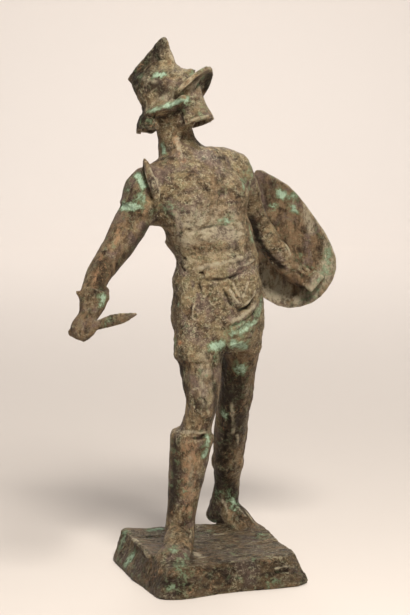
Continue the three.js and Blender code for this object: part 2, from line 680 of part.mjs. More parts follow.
/** Figure without its surface strokes. */
function figure() {
  const facing = heading(BODY_TURN);
  const thigh = heading(THIGH_TURN);
  const leftLeg = heading(LEFT_LEG_TURN);
  return [
    limb(TRUNK, {
      facing, sides: 22, rows: 22, level: true, round: [0, 0.2], shape: TRUNK_SHAPE,
      bulges: TRUNK_BULGES, bands: TRUNK_BANDS,
    }),
    limb(SHOULDERS, { facing, rows: 7 }),
    limb(NECK, { facing: heading(NECK_TURN), round: [0, 0] }),
    limb(ARMPIT_RIGHT, { facing, rows: 3 }),
    limb(LEG_RIGHT, { facing: thigh, sides: 14, rows: 8, round: [0, 0] }),
    limb(SHORTS_RIGHT, { facing: thigh, sides: 14, round: [0, 0] }),
    limb(BOOT_RIGHT, { facing: heading(SHIN_TURN), sides: 14, round: [0, 0] }),
    limb(FOOT_RIGHT, { facing: UP, rows: 5, round: [0.6, 0.3] }),
    limb(LEG_LEFT, { facing: leftLeg, sides: 14, round: [0, 0] }),
    limb(SHORTS_LEFT, { facing: leftLeg, sides: 14, round: [0, 0] }),
    limb(FOOT_LEFT, { facing: UP, rows: 5, round: [0.6, 0.3] }),
    limb(ARM_RIGHT, { facing, sides: 10, rows: 9 }),
    limb(SLEEVE_RIGHT, { facing, round: [0.6, 0] }),
    limb(SPIKE, { facing, sides: 6 }),
    limb(STRIP, { facing: TOWARDS_VIEWER, sides: 6 }),
    limb(CUFF_RIGHT, { facing, round: [0, 0] }),
    limb(CUFF_WING, { facing, sides: 6, round: [0, 0.4] }),
    limb(CUFF_LEAF, { facing, sides: 6 }),
    limb(FIST, { facing, round: [0.4, 0.6] }),
    limb(GRIP, { facing, sides: 6 }),
    limb(BLADE, { facing: TOWARDS_VIEWER, sides: 6, shape: 1.4, round: [0, 0.6] }),
    limb(ARM_LEFT, { facing, sides: 10, rows: 9 }),
    ...fingers(),
    shield(),
    ...head(),
  ];
}

/** What lies on the figure: strokes, the cloth gathered at the belt and the knot at the side. */
function surfaceWork(body) {
  const strokes = STROKES.map(([spots, wide, high]) => roll(laid(body, spots), wide, high));
  const gatherStations = laid(body, GATHER_SPOTS).map((p, i) => (
    [p.x, p.y + GATHER_SINK, p.z, GATHER_HALVES[i], GATHER_DEPTH, GATHER_DEPTH]));
  const gather = limb(gatherStations, { facing: TOWARDS_VIEWER });
  const sideKnot = limb(SIDE_KNOT, { facing: TOWARDS_VIEWER });
  return [...strokes, gather, sideKnot];
}

const [slab, ...slabDetails] = base();
const form = join(solid(slab), [...slabDetails, ...figure()]);
const casting = join(form, surfaceWork(form));

const statue = new THREE.Group();
const bronze = new THREE.MeshStandardMaterial({ color: 0x5f5343, roughness: 0.6, metalness: 0.6 });
const piece = new THREE.Mesh(surface(casting), bronze);
piece.name = 'gladiator_statue';
statue.add(piece);
statue.rotation.z = -radians(VIEW_TURN);

export default statue;
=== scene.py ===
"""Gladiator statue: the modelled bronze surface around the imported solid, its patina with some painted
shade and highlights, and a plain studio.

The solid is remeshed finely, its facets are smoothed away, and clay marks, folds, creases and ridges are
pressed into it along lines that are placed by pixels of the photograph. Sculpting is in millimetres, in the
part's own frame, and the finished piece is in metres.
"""
import itertools
import math

import bpy
import numpy as np
from mathutils import Matrix, Vector
from mathutils.bvhtree import BVHTree
from mathutils.kdtree import KDTree


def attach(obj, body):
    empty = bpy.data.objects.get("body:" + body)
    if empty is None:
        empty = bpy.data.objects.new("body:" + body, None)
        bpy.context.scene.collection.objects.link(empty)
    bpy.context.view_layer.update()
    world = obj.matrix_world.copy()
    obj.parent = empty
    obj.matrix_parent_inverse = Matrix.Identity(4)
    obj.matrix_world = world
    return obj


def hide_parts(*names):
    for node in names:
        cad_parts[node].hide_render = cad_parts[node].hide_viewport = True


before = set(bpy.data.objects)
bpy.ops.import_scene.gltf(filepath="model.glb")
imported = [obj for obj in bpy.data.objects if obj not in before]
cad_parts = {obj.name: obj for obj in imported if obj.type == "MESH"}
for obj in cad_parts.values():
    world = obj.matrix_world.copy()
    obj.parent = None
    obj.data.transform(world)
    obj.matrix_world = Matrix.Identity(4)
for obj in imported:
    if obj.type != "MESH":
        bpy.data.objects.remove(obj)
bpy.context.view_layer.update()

NODE = "gladiator_statue"
PIECE = "bronze_casting"
MM = 0.001
TINY = 1e-9
SEED = 7

# Camera of the photograph, in metres, and the size of its picture in pixels
CAMERA_PLACE = (-0.6743, -1.6689, 0.5)
CAMERA_TARGET = (0.0, 0.0, 0.25)
FOCAL_PIXELS = 1980.0
PICTURE = (410, 615)
SENSOR = 36.0
VIEW_TURN = math.radians(22)

# Studio in metres: the pale floor, its bend up into the backdrop, and the light from all round
SWEEP_HALF = 6.0
SWEEP_DEPTH = 3.6
SWEEP_RADIUS = 0.8
SWEEP_HEIGHT = 4.0
SWEEP_STEPS = 16
SWEEP_COLOUR = (0.63, 0.565, 0.512, 1)
SWEEP_ROUGHNESS = 0.9
WORLD_COLOUR = (1.0, 0.97, 0.93, 1)
WORLD_STRENGTH = 0.13

# Round lamps as (name, place, width, power in watts, colour), all turned to the camera's target
LAMPS = [
    ("key", (-0.08, -0.80, 1.25), 0.42, 27.5, (1.0, 0.965, 0.91)),
    ("fill", (-1.5, -0.9, 0.8), 1.4, 2, (0.97, 0.98, 1.0)),
    ("front", (-0.2, -1.65, 0.35), 0.9, 3.4, (1.0, 0.97, 0.94)),
    ("back", (0.9, 1.0, 1.7), 1.0, 7, (1.0, 0.98, 0.95)),
]
# Long lamp for the backdrop: its sizes, power, distance from it, height and the height that it is turned to
WASH_SIZE = (2.4, 0.4)
WASH_POWER = 85
WASH_ROOM = 1.3
WASH_HEIGHT = 2.6
WASH_AIM = 0.6

# Fine mesh: size of its cells, corners of its faces, triangles of the finished piece, and gap closed first
VOXEL = 1.0
CORNERS = 4
TRIANGLES = 196000
WELD_GAP = 0.01
# Parts are thin below the first depth in mm and sturdy above the second; depths are taken from a little
# under the skin and averaged
THIN = (4.0, 13.0)
DEPTH_START = 0.3
DEPTH_ROUNDS = 8
# Facets: rounds of smoothing, its weight on thin and sturdy parts, and how far it moves a point at most in
# mm, a share of that on thin parts, more on the head, and nothing below the first of the foot's heights
SMOOTH_ROUNDS = 60
SMOOTH_WEIGHTS = (0.08, 0.5)
FACET_ROUNDING = 0.8
THIN_ROUNDING = 0.3
HEAD_SOFTNESS = 1.0
FOOT = (0.5, 3)
# Rounds and weight of the last smoothing before the modelling and after it
SETTLE_BEFORE = (2, 0.4)
SETTLE_AFTER = (1, 0.35)

# Noise: numbers that scramble its cells, how many directions it has, its start, the step between seeds,
# the gain that brings it to about -1 to 1, and its layers
SCRAMBLE = (73856093, 19349663, 83492791)
SCRAMBLE_SHIFT = 11
GRADIENT_COUNT = 256
NOISE_START = 101.3
SEED_STEP = 19.7
NOISE_GAIN = 1.7
OCTAVES = 2

# Smears of a thumb: how far they wander, and the size of that, in widths, and their creases
WANDER = 0.35
WANDER_SIZE = 2.2
CREASES = 0.6
CREASE_LEVEL = 0.35
SMEAR_SEED, CREASE_SEED = 3, 7

# Marks: least agreement of normals within a mark's reach, and reaches in half widths
SAME_SIDE = 0.1
STROKE_REACH = 4
SWELL_REACH = 2.2
PATCH_REACH = 2.4
# Strokes: the lip beside them and the fade at their ends as shares, and how much their edge and their rise
# waver, in waves of (size in mm, seed)
LIP = 0.18
TAPER = 0.22
EDGE_SHARE, EDGE_WAVES = 0.5, (5, 31)
RISE_SHARE, RISE_WAVES = 0.55, (7, 32)

# Creases and ridges as (pixels of the photograph, half width, rise in mm; a crease has a negative rise)
STROKES = [
    # helmet
    ([(156, 44), (154, 53), (157, 62), (155, 72)], 3.0, -0.9),
    ([(155, 55), (160, 59), (167, 58)], 1.4, -0.9),
    ([(167, 46), (171, 56), (176, 65)], 2.0, 0.8),
    ([(131, 80), (141, 86), (152, 94)], 2.6, -0.8),
    ([(139, 78), (150, 80), (162, 84)], 3.0, 0.6),
    ([(148, 108), (158, 100), (170, 96), (180, 90)], 3.0, 0.7),
    ([(174, 87), (180, 80), (188, 75)], 1.6, -0.5),
    ([(178, 90), (186, 84), (194, 77)], 2.4, 0.7),
    ([(183, 91), (191, 86), (200, 78), (204, 71)], 1.9, 0.8),
    ([(188, 94), (195, 89), (202, 81)], 1.8, -1.0),
    ([(187, 121), (196, 119), (206, 116), (213, 114)], 1.6, 0.9),
    ([(188, 101), (194, 99), (201, 99)], 1.4, -0.6),
    # neck, sleeve and strap
    ([(176, 135), (179, 148), (183, 161)], 2.6, 1.1),
    ([(170, 134), (173, 147), (177, 158)], 2.0, -0.7),
    ([(147, 166), (150, 183), (152, 202)], 1.7, -0.8),
    ([(147, 163), (152, 173), (159, 189), (157, 201)], 2.0, 0.8),
    ([(192, 182), (200, 191)], 1.2, 0.6),
    ([(160, 205), (170, 216), (176, 221)], 2.6, -0.7),
    # waist
    ([(172, 233), (184, 229), (197, 230), (210, 226), (222, 225), (235, 225), (245, 226)], 2.0, -0.8),
    ([(176, 229), (194, 226), (208, 223)], 2.4, 0.6),
    ([(186, 247), (200, 240), (215, 233)], 2.2, 0.6),
    ([(180, 262), (184, 270), (191, 273)], 1.8, -1.0),
    ([(189, 272), (199, 268), (217, 264), (231, 261), (245, 256), (255, 252)], 2.2, 1.1),
    ([(201, 279), (210, 280), (222, 279), (232, 277), (239, 274)], 1.9, -1.5),
    ([(232, 277), (241, 273), (250, 268)], 1.6, -0.8),
    ([(233, 268), (246, 264), (258, 258)], 1.8, 0.9),
    ([(197, 272), (206, 273)], 1.5, -0.9),
    ([(199, 281), (202, 296)], 2.0, -0.9),
    # pouch of cloth and the folds below it
    ([(222, 284), (227, 297), (232, 305), (240, 310), (249, 305), (256, 293)], 1.8, -1.3),
    ([(228, 287), (234, 298), (240, 305)], 1.5, 1.6),
    ([(256, 288), (251, 298), (243, 306)], 1.5, 1.6),
    ([(231, 280), (237, 291), (240, 300)], 1.4, 1.3),
    ([(249, 280), (245, 291), (241, 300)], 1.4, 1.3),
    ([(234, 285), (239, 293)], 1.3, -1.0),
    ([(247, 286), (243, 294)], 1.3, -1.0),
    ([(225, 322), (240, 318), (251, 309), (258, 300)], 2.4, 1.2),
    ([(226, 327), (240, 323), (252, 315), (259, 306)], 1.7, -1.1),
    ([(228, 335), (242, 332), (254, 324), (261, 315)], 2.2, 0.9),
    ([(224, 344), (238, 341), (251, 337), (259, 332)], 1.8, -1.0),
    ([(196, 300), (193, 318), (204, 319)], 1.2, 0.8),
    ([(199, 301), (197, 312)], 1.1, 0.6),
    ([(192, 331), (204, 331)], 1.3, 0.7),
    ([(205, 298), (214, 312), (222, 320)], 2.4, -0.7),
    # forearm over the shield
    ([(251, 218), (256, 234), (263, 248), (272, 258), (281, 267), (289, 277)], 3.6, -1.4),
    ([(283, 243), (288, 249), (290, 258)], 1.6, 0.9),
    ([(279, 247), (284, 254), (284, 262)], 1.6, -0.8),
    ([(291, 246), (295, 252), (296, 259)], 1.5, -0.7),
    ([(297, 270), (303, 276)], 1.4, -1.0),
    ([(301, 267), (308, 273)], 1.4, -1.0),
    ([(306, 265), (313, 271)], 1.4, -1.0),
    # legs
    ([(188, 396), (195, 389), (204, 388)], 2.2, 0.6),
    ([(197, 400), (203, 398), (209, 405)], 1.8, -0.9),
    ([(192, 405), (200, 412), (206, 421)], 1.6, 0.8),
    ([(205, 386), (210, 394), (211, 404)], 1.6, -0.8),
    ([(199, 376), (204, 390)], 1.6, 0.6),
    ([(185, 398), (189, 408), (191, 418)], 1.8, -0.7),
    ([(207, 408), (209, 418)], 1.6, 0.7),
    ([(214, 352), (214, 370), (212, 386)], 1.7, -0.8),
    ([(206, 352), (207, 368), (204, 382)], 2.4, 0.7),
    ([(184, 352), (186, 372), (189, 388)], 2.2, -0.6),
    ([(232, 398), (233, 420), (233, 440)], 2.2, 0.7),
    ([(227, 398), (228, 425)], 1.8, -0.9),
    ([(240, 388), (240, 412), (238, 434)], 2.0, -0.7),
    ([(190, 444), (191, 476), (190, 508)], 4.0, 0.7),
    ([(197, 424), (201, 428), (196, 430)], 1.3, 0.7),
    ([(172, 430), (184, 432), (196, 432), (210, 433)], 2.2, 0.9),
    ([(175, 437), (184, 438), (193, 438)], 1.6, -0.8),
    ([(190, 438), (199, 438), (208, 435)], 1.7, -1.1),
    ([(196, 405), (199, 414), (204, 421)], 2.2, -0.7),
    ([(226, 428), (225, 442), (224, 455)], 2.6, -1.2),
    ([(237, 432), (238, 446)], 2.2, 0.9),
    ([(166, 522), (180, 525), (194, 522)], 1.8, -0.8),
    ([(192, 530), (189, 540)], 1.4, 0.9),
    ([(228, 505), (236, 513), (241, 521)], 1.6, -0.9),
    ([(233, 503), (241, 511), (247, 519)], 1.6, 0.9),
    ([(221, 497), (226, 507), (230, 518)], 1.8, 0.8),
    ([(179, 446), (181, 476), (178, 508)], 3.0, -0.5),
    ([(197, 450), (199, 480), (196, 508)], 1.8, 0.6),
    ([(228, 486), (232, 498), (238, 508)], 1.6, -0.8),
    ([(243, 508), (250, 518), (256, 526)], 1.6, 0.9),
    # base
    ([(130, 536), (142, 547), (150, 559)], 2.2, 1.2),
    ([(136, 541), (148, 552), (156, 560)], 3.0, -1.3),
    ([(271, 573), (281, 571), (291, 570)], 1.5, -1.6),
    ([(272, 569), (282, 567), (291, 566)], 1.4, 0.7),
    ([(205, 533), (215, 534), (225, 536)], 1.4, 0.6),
    ([(136, 538), (150, 537), (164, 537)], 1.8, -0.9),
]
# Lumps and hollows as (pixel, half width, rise in mm)
SWELLS = [
    ((170, 241), 6.0, 1.0),
    ((208, 248), 14.0, 0.8),
    ((275, 240), 8.0, 0.8),
    ((283, 254), 5.0, 1.0),
    ((299, 269), 2.6, 1.0),
    ((308, 270), 2.6, 0.9),
    ((304, 277), 2.4, -0.9),
    ((313, 279), 2.6, 0.9),
    ((306, 284), 2.4, 0.7),
    ((296, 278), 2.4, -0.8),
    ((199, 427), 2.5, 0.6),
    ((198, 555), 4.0, 1.0),
    ((170, 552), 7.0, 1.0),
    ((247, 526), 2.6, 1.0),
    ((213, 463), 2.5, 1.0),
    ((242, 461), 2.5, 1.0),
    ((212, 562), 8.0, -1.3),
    ((233, 560), 7.0, 0.9),
    ((252, 559), 8.0, -1.2),
    ((276, 556), 7.0, 0.9),
    ((293, 556), 6.0, -1.2),
    ((186, 580), 9.0, 1.0),
    ((230, 578), 9.0, 0.9),
    ((262, 580), 8.0, -0.9),
]

# Relief of the whole surface: rise, size in mm and seed of the broad unevenness, and scale and seed of the
# coarse and the fine smears, with the fine ones' share
BROAD_RISE = 0.8
BROAD_LUMPS = (24, 1)
COARSE_SMEARS = (1, 40)
FINE_SMEARS = (0.4, 60)
FINE_SHARE = 0.5
# Heights in mm between which the relief sets in, and its share on thin parts
FOOT_ROOM = (1, 5)
THIN_RELIEF = 0.35

# Way that the clay is smeared in each zone, length and width of the smears and their rise in mm
GRAIN = {
    "head": ((0.72, -0.29, 0.62), 16, 5.0, 0.62),
    "torso": ((0.90, -0.36, 0.16), 20, 7.5, 0.42),
    "cloth": ((0.86, -0.34, 0.38), 18, 5.5, 0.62),
    "arms": ((-0.45, -0.35, -0.82), 18, 6.0, 0.36),
    "legs": ((0.10, 0, 1), 20, 6.0, 0.52),
    "boot": ((0, 0, 1), 26, 5.0, 0.30),
    "shield": ((0.55, 0, -0.83), 16, 9.0, 0.34),
    "base": ((1, -0.1, 0), 22, 6.5, 0.60),
}
# How much of the light ochre crust each zone carries
CRUST = {
    "head": 0.9, "torso": 0.85, "cloth": 0.95, "arms": 0.3, "legs": 0.45, "boot": 0.55, "shield": 0.08,
    "base": 0.8,
}
# Least share of a zone that is smeared
ZONE_LEAST = 0.02

# Share of the pellets and tool marks that each zone carries, what every place gets as well, and what thin
# parts keep of it; then the least chance outside the upright zones and outside the others
DABBED = {"cloth": 1.0, "torso": 0.5, "head": 1.0, "legs": 0.7, "arms": 0.5}
DABBED_LEAST = 0.15
THIN_DABBED = 0.2
UPRIGHT_LEAST = 0.02
STRAY = 1e-6
# Pellets, tool marks and pits as (where, seed, how many, half length, half width and rise in mm, share of
# the width that is flat, way that they run or None)
DABS = [
    ("body", SEED + 1, 380, 6.5, 4.2, 0.4, 0.55, None),
    ("body", SEED + 2, 200, 6.0, 1.4, -0.3, 0.2, None),
    ("upright", SEED + 3, 300, 9, 1.2, 0.25, 0.3, (0, 0, 1)),
    ("level", SEED + 4, 200, 18, 1.6, 0.35, 0.3, (1, 0.1, 0)),
    ("level", SEED + 6, 220, 2.6, 1.8, -0.6, 0.3, None),
    ("cloth", SEED + 5, 160, 7, 1.4, 0.35, 0.2, None),
]
# Spread of their sizes and rises, how much their way sways, how flat the surface under them is, and their
# slope from end to end
DAB_SIZES = (0.6, 1.4)
DAB_RISES = (0.4, 1.2)
DAB_SWAY = 0.35
DAB_SIDE = 0.3
DAB_SLOPE = 0.35

# Bounds of the zones in mm, as (just outside, well inside), along the height, to the viewer's right or away
BOUNDS = {
    "base_top": (33, 27),
    "shield_front": (60, 68),
    "shield_low": (232, 236),
    "shield_top": (376, 372),
    "shield_left": (24, 30),
    "head_low": (408, 416),
    "cloth_low": (204, 210),
    "cloth_top": (305, 299),
    "cloth_left": (-60, -54),
    "arms_right": (-46, -54),
    "boot_top": (142, 138),
    "boot_back": (18, 10),
    "torso_low": (295, 302),
    "legs_top": (210, 204),
}
# The shield's front comes nearer by this slope to the right, and its bounds hold at this place
SHIELD_SLOPE = 0.37
SHIELD_MIDDLE = 76

# Verdigris as (pixels, half width in mm, strength)
GREEN = [
    ([(155, 75), (163, 74)], 3.4, 1.3),
    ([(139, 77), (142, 76)], 3.0, 0.6),
    ([(147, 112), (160, 108), (175, 104), (186, 101)], 2.8, 0.8),
    ([(167, 106), (178, 102), (187, 100)], 3.0, 1.3),
    ([(201, 113)], 5.0, 0.4),
    ([(163, 147), (164, 151)], 3.4, 1.3),
    ([(137, 175), (141, 180), (143, 186)], 3.8, 1.2),
    ([(128, 190)], 4.0, 0.5),
    ([(142, 199)], 5.5, 0.9),
    ([(123, 206), (130, 207), (137, 207)], 4.6, 1.2),
    ([(127, 184)], 5.5, 0.55),
    ([(222, 221), (230, 221)], 4.4, 0.7),
    ([(243, 181), (244, 192)], 3.2, 0.7),
    ([(250, 229), (253, 241)], 3.4, 0.7),
    ([(221, 344), (213, 348)], 4.6, 1.4),
    ([(216, 357)], 5.0, 0.6),
    ([(230, 333), (240, 330), (253, 323)], 6.5, 0.8),
    ([(233, 344), (246, 346)], 4.6, 1.2),
    ([(258, 318), (261, 300)], 4.0, 0.7),
    ([(241, 369)], 7.0, 1.2),
    ([(224, 414)], 4.6, 1.1),
    ([(208, 438), (207, 446), (205, 455)], 5.0, 1.0),
    ([(218, 492)], 5.0, 0.7),
    ([(231, 503), (236, 510)], 5.0, 0.6),
    ([(172, 549)], 6.0, 0.75),
    ([(183, 571), (179, 563)], 6.5, 0.5),
    ([(167, 589), (185, 588)], 6.0, 0.4),
    ([(228, 494), (235, 503)], 5.0, 0.6),
    ([(205, 108), (209, 113)], 4.0, 0.45),
    ([(127, 563), (132, 556)], 7.0, 1.0),
    ([(124, 535), (122, 545)], 5.5, 0.7),
    ([(150, 531), (160, 529)], 4.4, 0.9),
    ([(201, 521), (215, 521)], 3.4, 0.7),
    ([(280, 193), (283, 195)], 4.0, 1.5),
    ([(288, 196), (294, 196)], 3.6, 0.7),
    ([(292, 205), (295, 211)], 3.6, 0.8),
    ([(274, 207)], 4.0, 0.9),
    ([(329, 252), (325, 272), (317, 286), (308, 297)], 6.0, 0.5),
    ([(103, 297), (101, 304)], 4.6, 1.0),
    ([(110, 320)], 3.4, 0.7),
    ([(178, 305)], 2.0, 1.0),
    ([(146, 487), (172, 486)], 3.4, 0.5),
]
# Warm bare metal and rust as (pixels, half width in mm, strength); the lit patch and streak on the sword
# arm and the bright strip down the boot are painted highlights on the copper
BARE_METAL_AND_HIGHLIGHT = [
    ([(176, 138), (183, 160)], 3.4, 1.3),
    ([(189, 446), (190, 476), (189, 508)], 7.0, 1.3),
    ([(188, 486), (190, 496)], 4.0, 1.4),
    ([(188, 448), (192, 462)], 6.0, 1.5),
    ([(161, 157)], 3.6, 0.6),
    ([(103, 250), (96, 275), (94, 287)], 3.2, 0.9),
    ([(118, 228), (113, 245)], 7.0, 0.8),
    ([(180, 343)], 3.2, 2.6),
    ([(205, 195), (225, 200)], 10.0, 0.35),
    ([(173, 57), (172, 64)], 3.4, 0.7),
    ([(190, 300), (200, 325)], 9.0, 0.4),
    ([(249, 351), (253, 350)], 3.0, 0.8),
    ([(265, 222), (268, 236)], 7.0, 0.3),
    ([(199, 427)], 2.6, 1.0),
]
# Pale places as (pixels, half width in mm, strength): pale dust on what stands proud, and painted light, as
# the sheen on the chest and the waist band, the highlights on the thigh, the far leg and the shield's rim,
# and the light painted into the shadow under the forearm
PALE_DUST_AND_HIGHLIGHT = [
    ([(176, 96), (165, 99)], 6.0, 1.0),
    ([(196, 82), (188, 89)], 5.0, 1.0),
    ([(192, 92), (200, 98)], 6.0, 0.6),
    ([(141, 95), (146, 106)], 4.6, 1.0),
    ([(195, 210), (220, 208)], 10.0, 1.0),
    ([(182, 219), (205, 219), (232, 218)], 9.0, 1.7),
    ([(185, 200), (225, 196)], 10.0, 0.5),
    ([(192, 88), (202, 78)], 5.0, 1.5),
    ([(192, 103), (202, 104)], 5.0, 1.1),
    ([(163, 48), (162, 60)], 5.0, 0.5),
    ([(202, 356), (203, 385)], 6.0, 1.1),
    ([(319, 283), (308, 293), (298, 299)], 6.0, 2.8),
    ([(205, 268), (230, 264), (250, 258)], 6.0, 1.0),
    ([(222, 170), (226, 180)], 9.0, 0.7),
    ([(182, 240), (195, 235), (215, 230), (238, 230)], 10.0, 1.9),
    ([(190, 218), (205, 216)], 8.0, 0.8),
    ([(185, 262), (200, 257), (235, 250)], 9.0, 0.9),
    ([(190, 445), (192, 480), (190, 510)], 6.0, 0.6),
    ([(205, 266), (230, 262), (250, 256)], 3.5, 0.9),
    ([(240, 290), (241, 300)], 8.0, 0.7),
    ([(205, 362), (207, 400)], 9.0, 0.8),
    ([(178, 432), (200, 433)], 3.0, 0.7),
    ([(194, 553), (201, 557)], 3.6, 3.5),
    ([(208, 534), (222, 534)], 2.6, 1.2),
    ([(311, 224), (308, 212), (304, 203)], 5.5, 1.4),
    ([(329, 248), (328, 264), (323, 278), (312, 292)], 8.0, 2.6),
    ([(297, 300), (280, 305), (268, 303)], 3.0, 1.2),
    ([(318, 222), (326, 238), (331, 256)], 2.6, 1.4),
    ([(247, 384), (246, 420), (243, 450)], 3.0, 0.9),
    ([(238, 440), (238, 470), (241, 500)], 4.0, 0.8),
    ([(233, 398), (233, 440)], 3.0, 0.35),
    ([(288, 196), (294, 196), (294, 208)], 4.0, 1.2),
    ([(296, 298), (286, 301)], 4.0, 1.0),
    ([(279, 194), (286, 196)], 4.0, 1.0),
    ([(293, 206), (296, 210)], 4.0, 1.1),
    ([(297, 266), (309, 270)], 3.0, 0.9),
    ([(264, 276), (270, 286), (280, 294)], 13.0, 2.8),
    ([(205, 356), (205, 375)], 5.0, 0.9),
    ([(305, 213), (309, 222), (312, 230)], 5.0, 1.8),
    ([(330, 252), (324, 280), (309, 298)], 3.5, 2.0),
    ([(283, 242), (289, 250), (292, 258)], 3.0, 0.9),
    ([(190, 232), (215, 229), (240, 227)], 7.0, 0.6),
    ([(184, 247), (205, 243), (235, 238)], 7.0, 0.5),
    ([(105, 318), (117, 316)], 4.0, 0.6),
]
# Darker places as (pixels, half width in mm, strength). Much of this is painted shade: under the helmet's
# brim and band, beside the visor, between the arms and the torso, under the forearm and the hand, in the
# creases of the thigh and knee, on the left side of the hip and over the far leg. The rest is darker
# patina, as on the crest, the neck guard, the boot and the base
SHADE_AND_DARK_PATINA = [
    ([(208, 75), (208, 83), (207, 90)], 4.0, 1.6),
    ([(212, 76), (211, 86)], 3.0, 1.4),
    ([(150, 213), (162, 222)], 9.0, 0.6),
    ([(180, 290), (178, 320)], 9.0, 0.4),
    ([(222, 352), (225, 385), (226, 430), (222, 460)], 9.0, 1.3),
    ([(236, 400), (237, 430)], 6.0, 0.8),
    ([(234, 380), (234, 440)], 16.0, 1.2),
    ([(222, 470), (216, 490), (214, 512)], 13.0, 1.0),
    ([(228, 486), (246, 514)], 12.0, 1.1),
    ([(146, 228), (133, 248), (121, 262), (113, 280)], 6.0, 0.9),
    ([(166, 226), (172, 245), (178, 262)], 6.0, 0.6),
    ([(187, 103), (184, 112), (184, 121)], 4.6, 1.0),
    ([(160, 42), (148, 55), (138, 68), (137, 84)], 11.0, 1.4),
    ([(152, 60), (146, 76)], 10.0, 0.8),
    ([(139, 118), (143, 127), (150, 124)], 9.0, 2.4),
    ([(152, 84), (164, 92)], 9.0, 1.0),
    ([(150, 172), (154, 198)], 5.0, 0.5),
    ([(228, 395), (228, 440)], 5.0, 1.6),
    ([(130, 192), (140, 212)], 8.0, 0.7),
    ([(101, 262), (99, 290)], 8.0, 1.1),
    ([(255, 185), (270, 195)], 10.0, 0.5),
    ([(152, 580), (180, 584)], 12.0, 1.1),
    ([(175, 442), (175, 480), (171, 512)], 7.0, 1.1),
    ([(215, 385), (216, 412)], 5.0, 1.1),
    ([(180, 352), (184, 390), (184, 415)], 6.0, 1.0),
    ([(198, 402), (206, 408)], 5.0, 0.8),
    ([(141, 120), (146, 128)], 5.0, 0.8),
    ([(250, 300), (262, 330)], 8.0, 0.4),
    ([(251, 218), (256, 232), (261, 245), (268, 256)], 4.0, 1.5),
    ([(150, 118), (158, 118), (168, 115), (180, 110)], 3.0, 0.9),
    ([(128, 575), (150, 592)], 12.0, 0.5),
    ([(177, 265), (175, 300), (178, 335)], 8.0, 0.6),
    ([(256, 240), (265, 254), (279, 267)], 4.0, 1.0),
    ([(303, 276)], 2.6, 1.1),
    ([(310, 277)], 2.4, 0.9),
    ([(296, 284), (303, 288)], 2.4, 1.2),
    ([(140, 555), (150, 575)], 9.0, 0.5),
]

# Darkening of the base, and the share of the darkening of broad hollows, partly dark patina and partly
# painted shade, that the shield goes without
BASE_DARK = 0.7
SHIELD_SPARED_SHADE = 0.8
# Rounds of averaging that find the fine and then the broad ridges and hollows
RIDGE_ROUNDS = 6
BROAD_ROUNDS = 60
# How much of a normal points at the viewer where the far side starts and where it is full
AWAY = (0.1, -0.3)
# Scale and seed of the streaks that the patina follows
STREAKS = (0.55, 80)

# Colours of the patina, linear; the deep one also paints shade, the dust one also paints highlights and
# light, and the copper one also paints highlights on the bare metal
DEEP = (0.018, 0.011, 0.006, 1)
UMBER = (0.050, 0.030, 0.016, 1)
BROWN = (0.195, 0.124, 0.068, 1)
OLIVE = (0.250, 0.196, 0.106, 1)
MAUVE = (0.150, 0.102, 0.082, 1)
DUST_AND_HIGHLIGHT = (0.47, 0.405, 0.285, 1)
COPPER = (0.42, 0.245, 0.132, 1)
RUST = (0.30, 0.095, 0.035, 1)
JADE = (0.145, 0.20, 0.105, 1)
GLINT = (0.60, 0.52, 0.345, 1)
TURQUOISE = (0.37, 0.49, 0.35, 1)

# Noises of the patina as (lumps to the metre, layers, roughness of the layers, distortion)
MOTTLES = {
    "blotch": (22, 4, 0.6),
    "strewn": (34, 5, 0.6),
    "tint": (40, 6, 0.65, 0.6),
    "patch": (200, 8, 0.75),
    "grain": (400, 6, 0.8),
}
# Noises that are drawn out along the smears, and their scales where those are upright and level
DRAWN_OUT = {
    "cloud": (110, 8, 0.72),
    "tone": (150, 9, 0.84),
}
UPRIGHT = (1, 1, 0.45)
LEVEL = (0.62, 0.75, 1.0)

# How each coat of the patina, of the painted shade and of the painted highlights takes, as (value at its
# start and at its end, strength at each)
COATS = {
    "brown": (0.38, 0.58, 0, 1),
    "crust_in_blotch": (0.36, 0.60, 0.35, 1),
    "crust_in_dark": (0.1, 1.0, 1, 0.3),
    "crust_in_cloud": (0.40, 0.58, 0, 1),
    "mauve": (0.49, 0.62, 0, 0.85),
    "dark_cloud": (0.45, 0.30, 0, 0.6),
    "dark": (0, 1.1, 0, 0.9),
    "tone": (0.37, 0.64, -0.50, 0.62),
    "tone_in_crust": (0, 0.6, 0.32, 1),
    "grain": (0.36, 0.64, 0.78, 1.22),
    "light_in_patch": (0.42, 0.58, 0, 1),
    "light_in_crust": (0, 0.6, 0.06, 0.7),
    "copper_in_tint": (0.50, 0.40, 0, 1),
    "dark_in_cloud": (0.56, 0.42, 0, 1),
    "ridge": (0.06, 0.40, 0, 0.75),
    "ridge_in_grain": (0.40, 0.60, 0.15, 1),
    "warm_in_tone": (0.42, 0.60, 0.1, 1),
    "copper": (0.05, 1.0, 0, 0.85),
    "rust": (1.2, 1.8, 0, 0.9),
    "pale_in_tone": (0.42, 0.62, 0.15, 1),
    "dust_and_painted_light": (0.05, 1.4, 0, 0.85),
    "hollow": (-0.10, -0.55, 0, 0.9),
    "hollow_in_grain": (0.30, 0.55, 0.4, 1),
    "drawn_ridge": (0.2, 1.1, 0, 0.85),
    "drawn_in_patch": (0.40, 0.58, 0.3, 1),
    "drawn_crease": (-0.3, -1.4, 0, 0.85),
    "broad_hollow": (-0.3, -1.6, 0, 0.8),
    "strewn": (0.56, 0.70, 0, 0.9),
    "strewn_away": (0, 1, 0.45, 1),
    "green_in_patch": (0.34, 0.62, -0.75, 0.2),
    "jade": (0, 0.45, 0, 0.65),
    "turquoise": (0.35, 0.95, 0, 0.9),
    "turquoise_in_tone": (0.35, 0.6, 0.5, 1.2),
    "verdigris": (0.2, 0.7, 0, 1),
    "roughness": (0.3, 0.7, 0.36, 0.62),
}
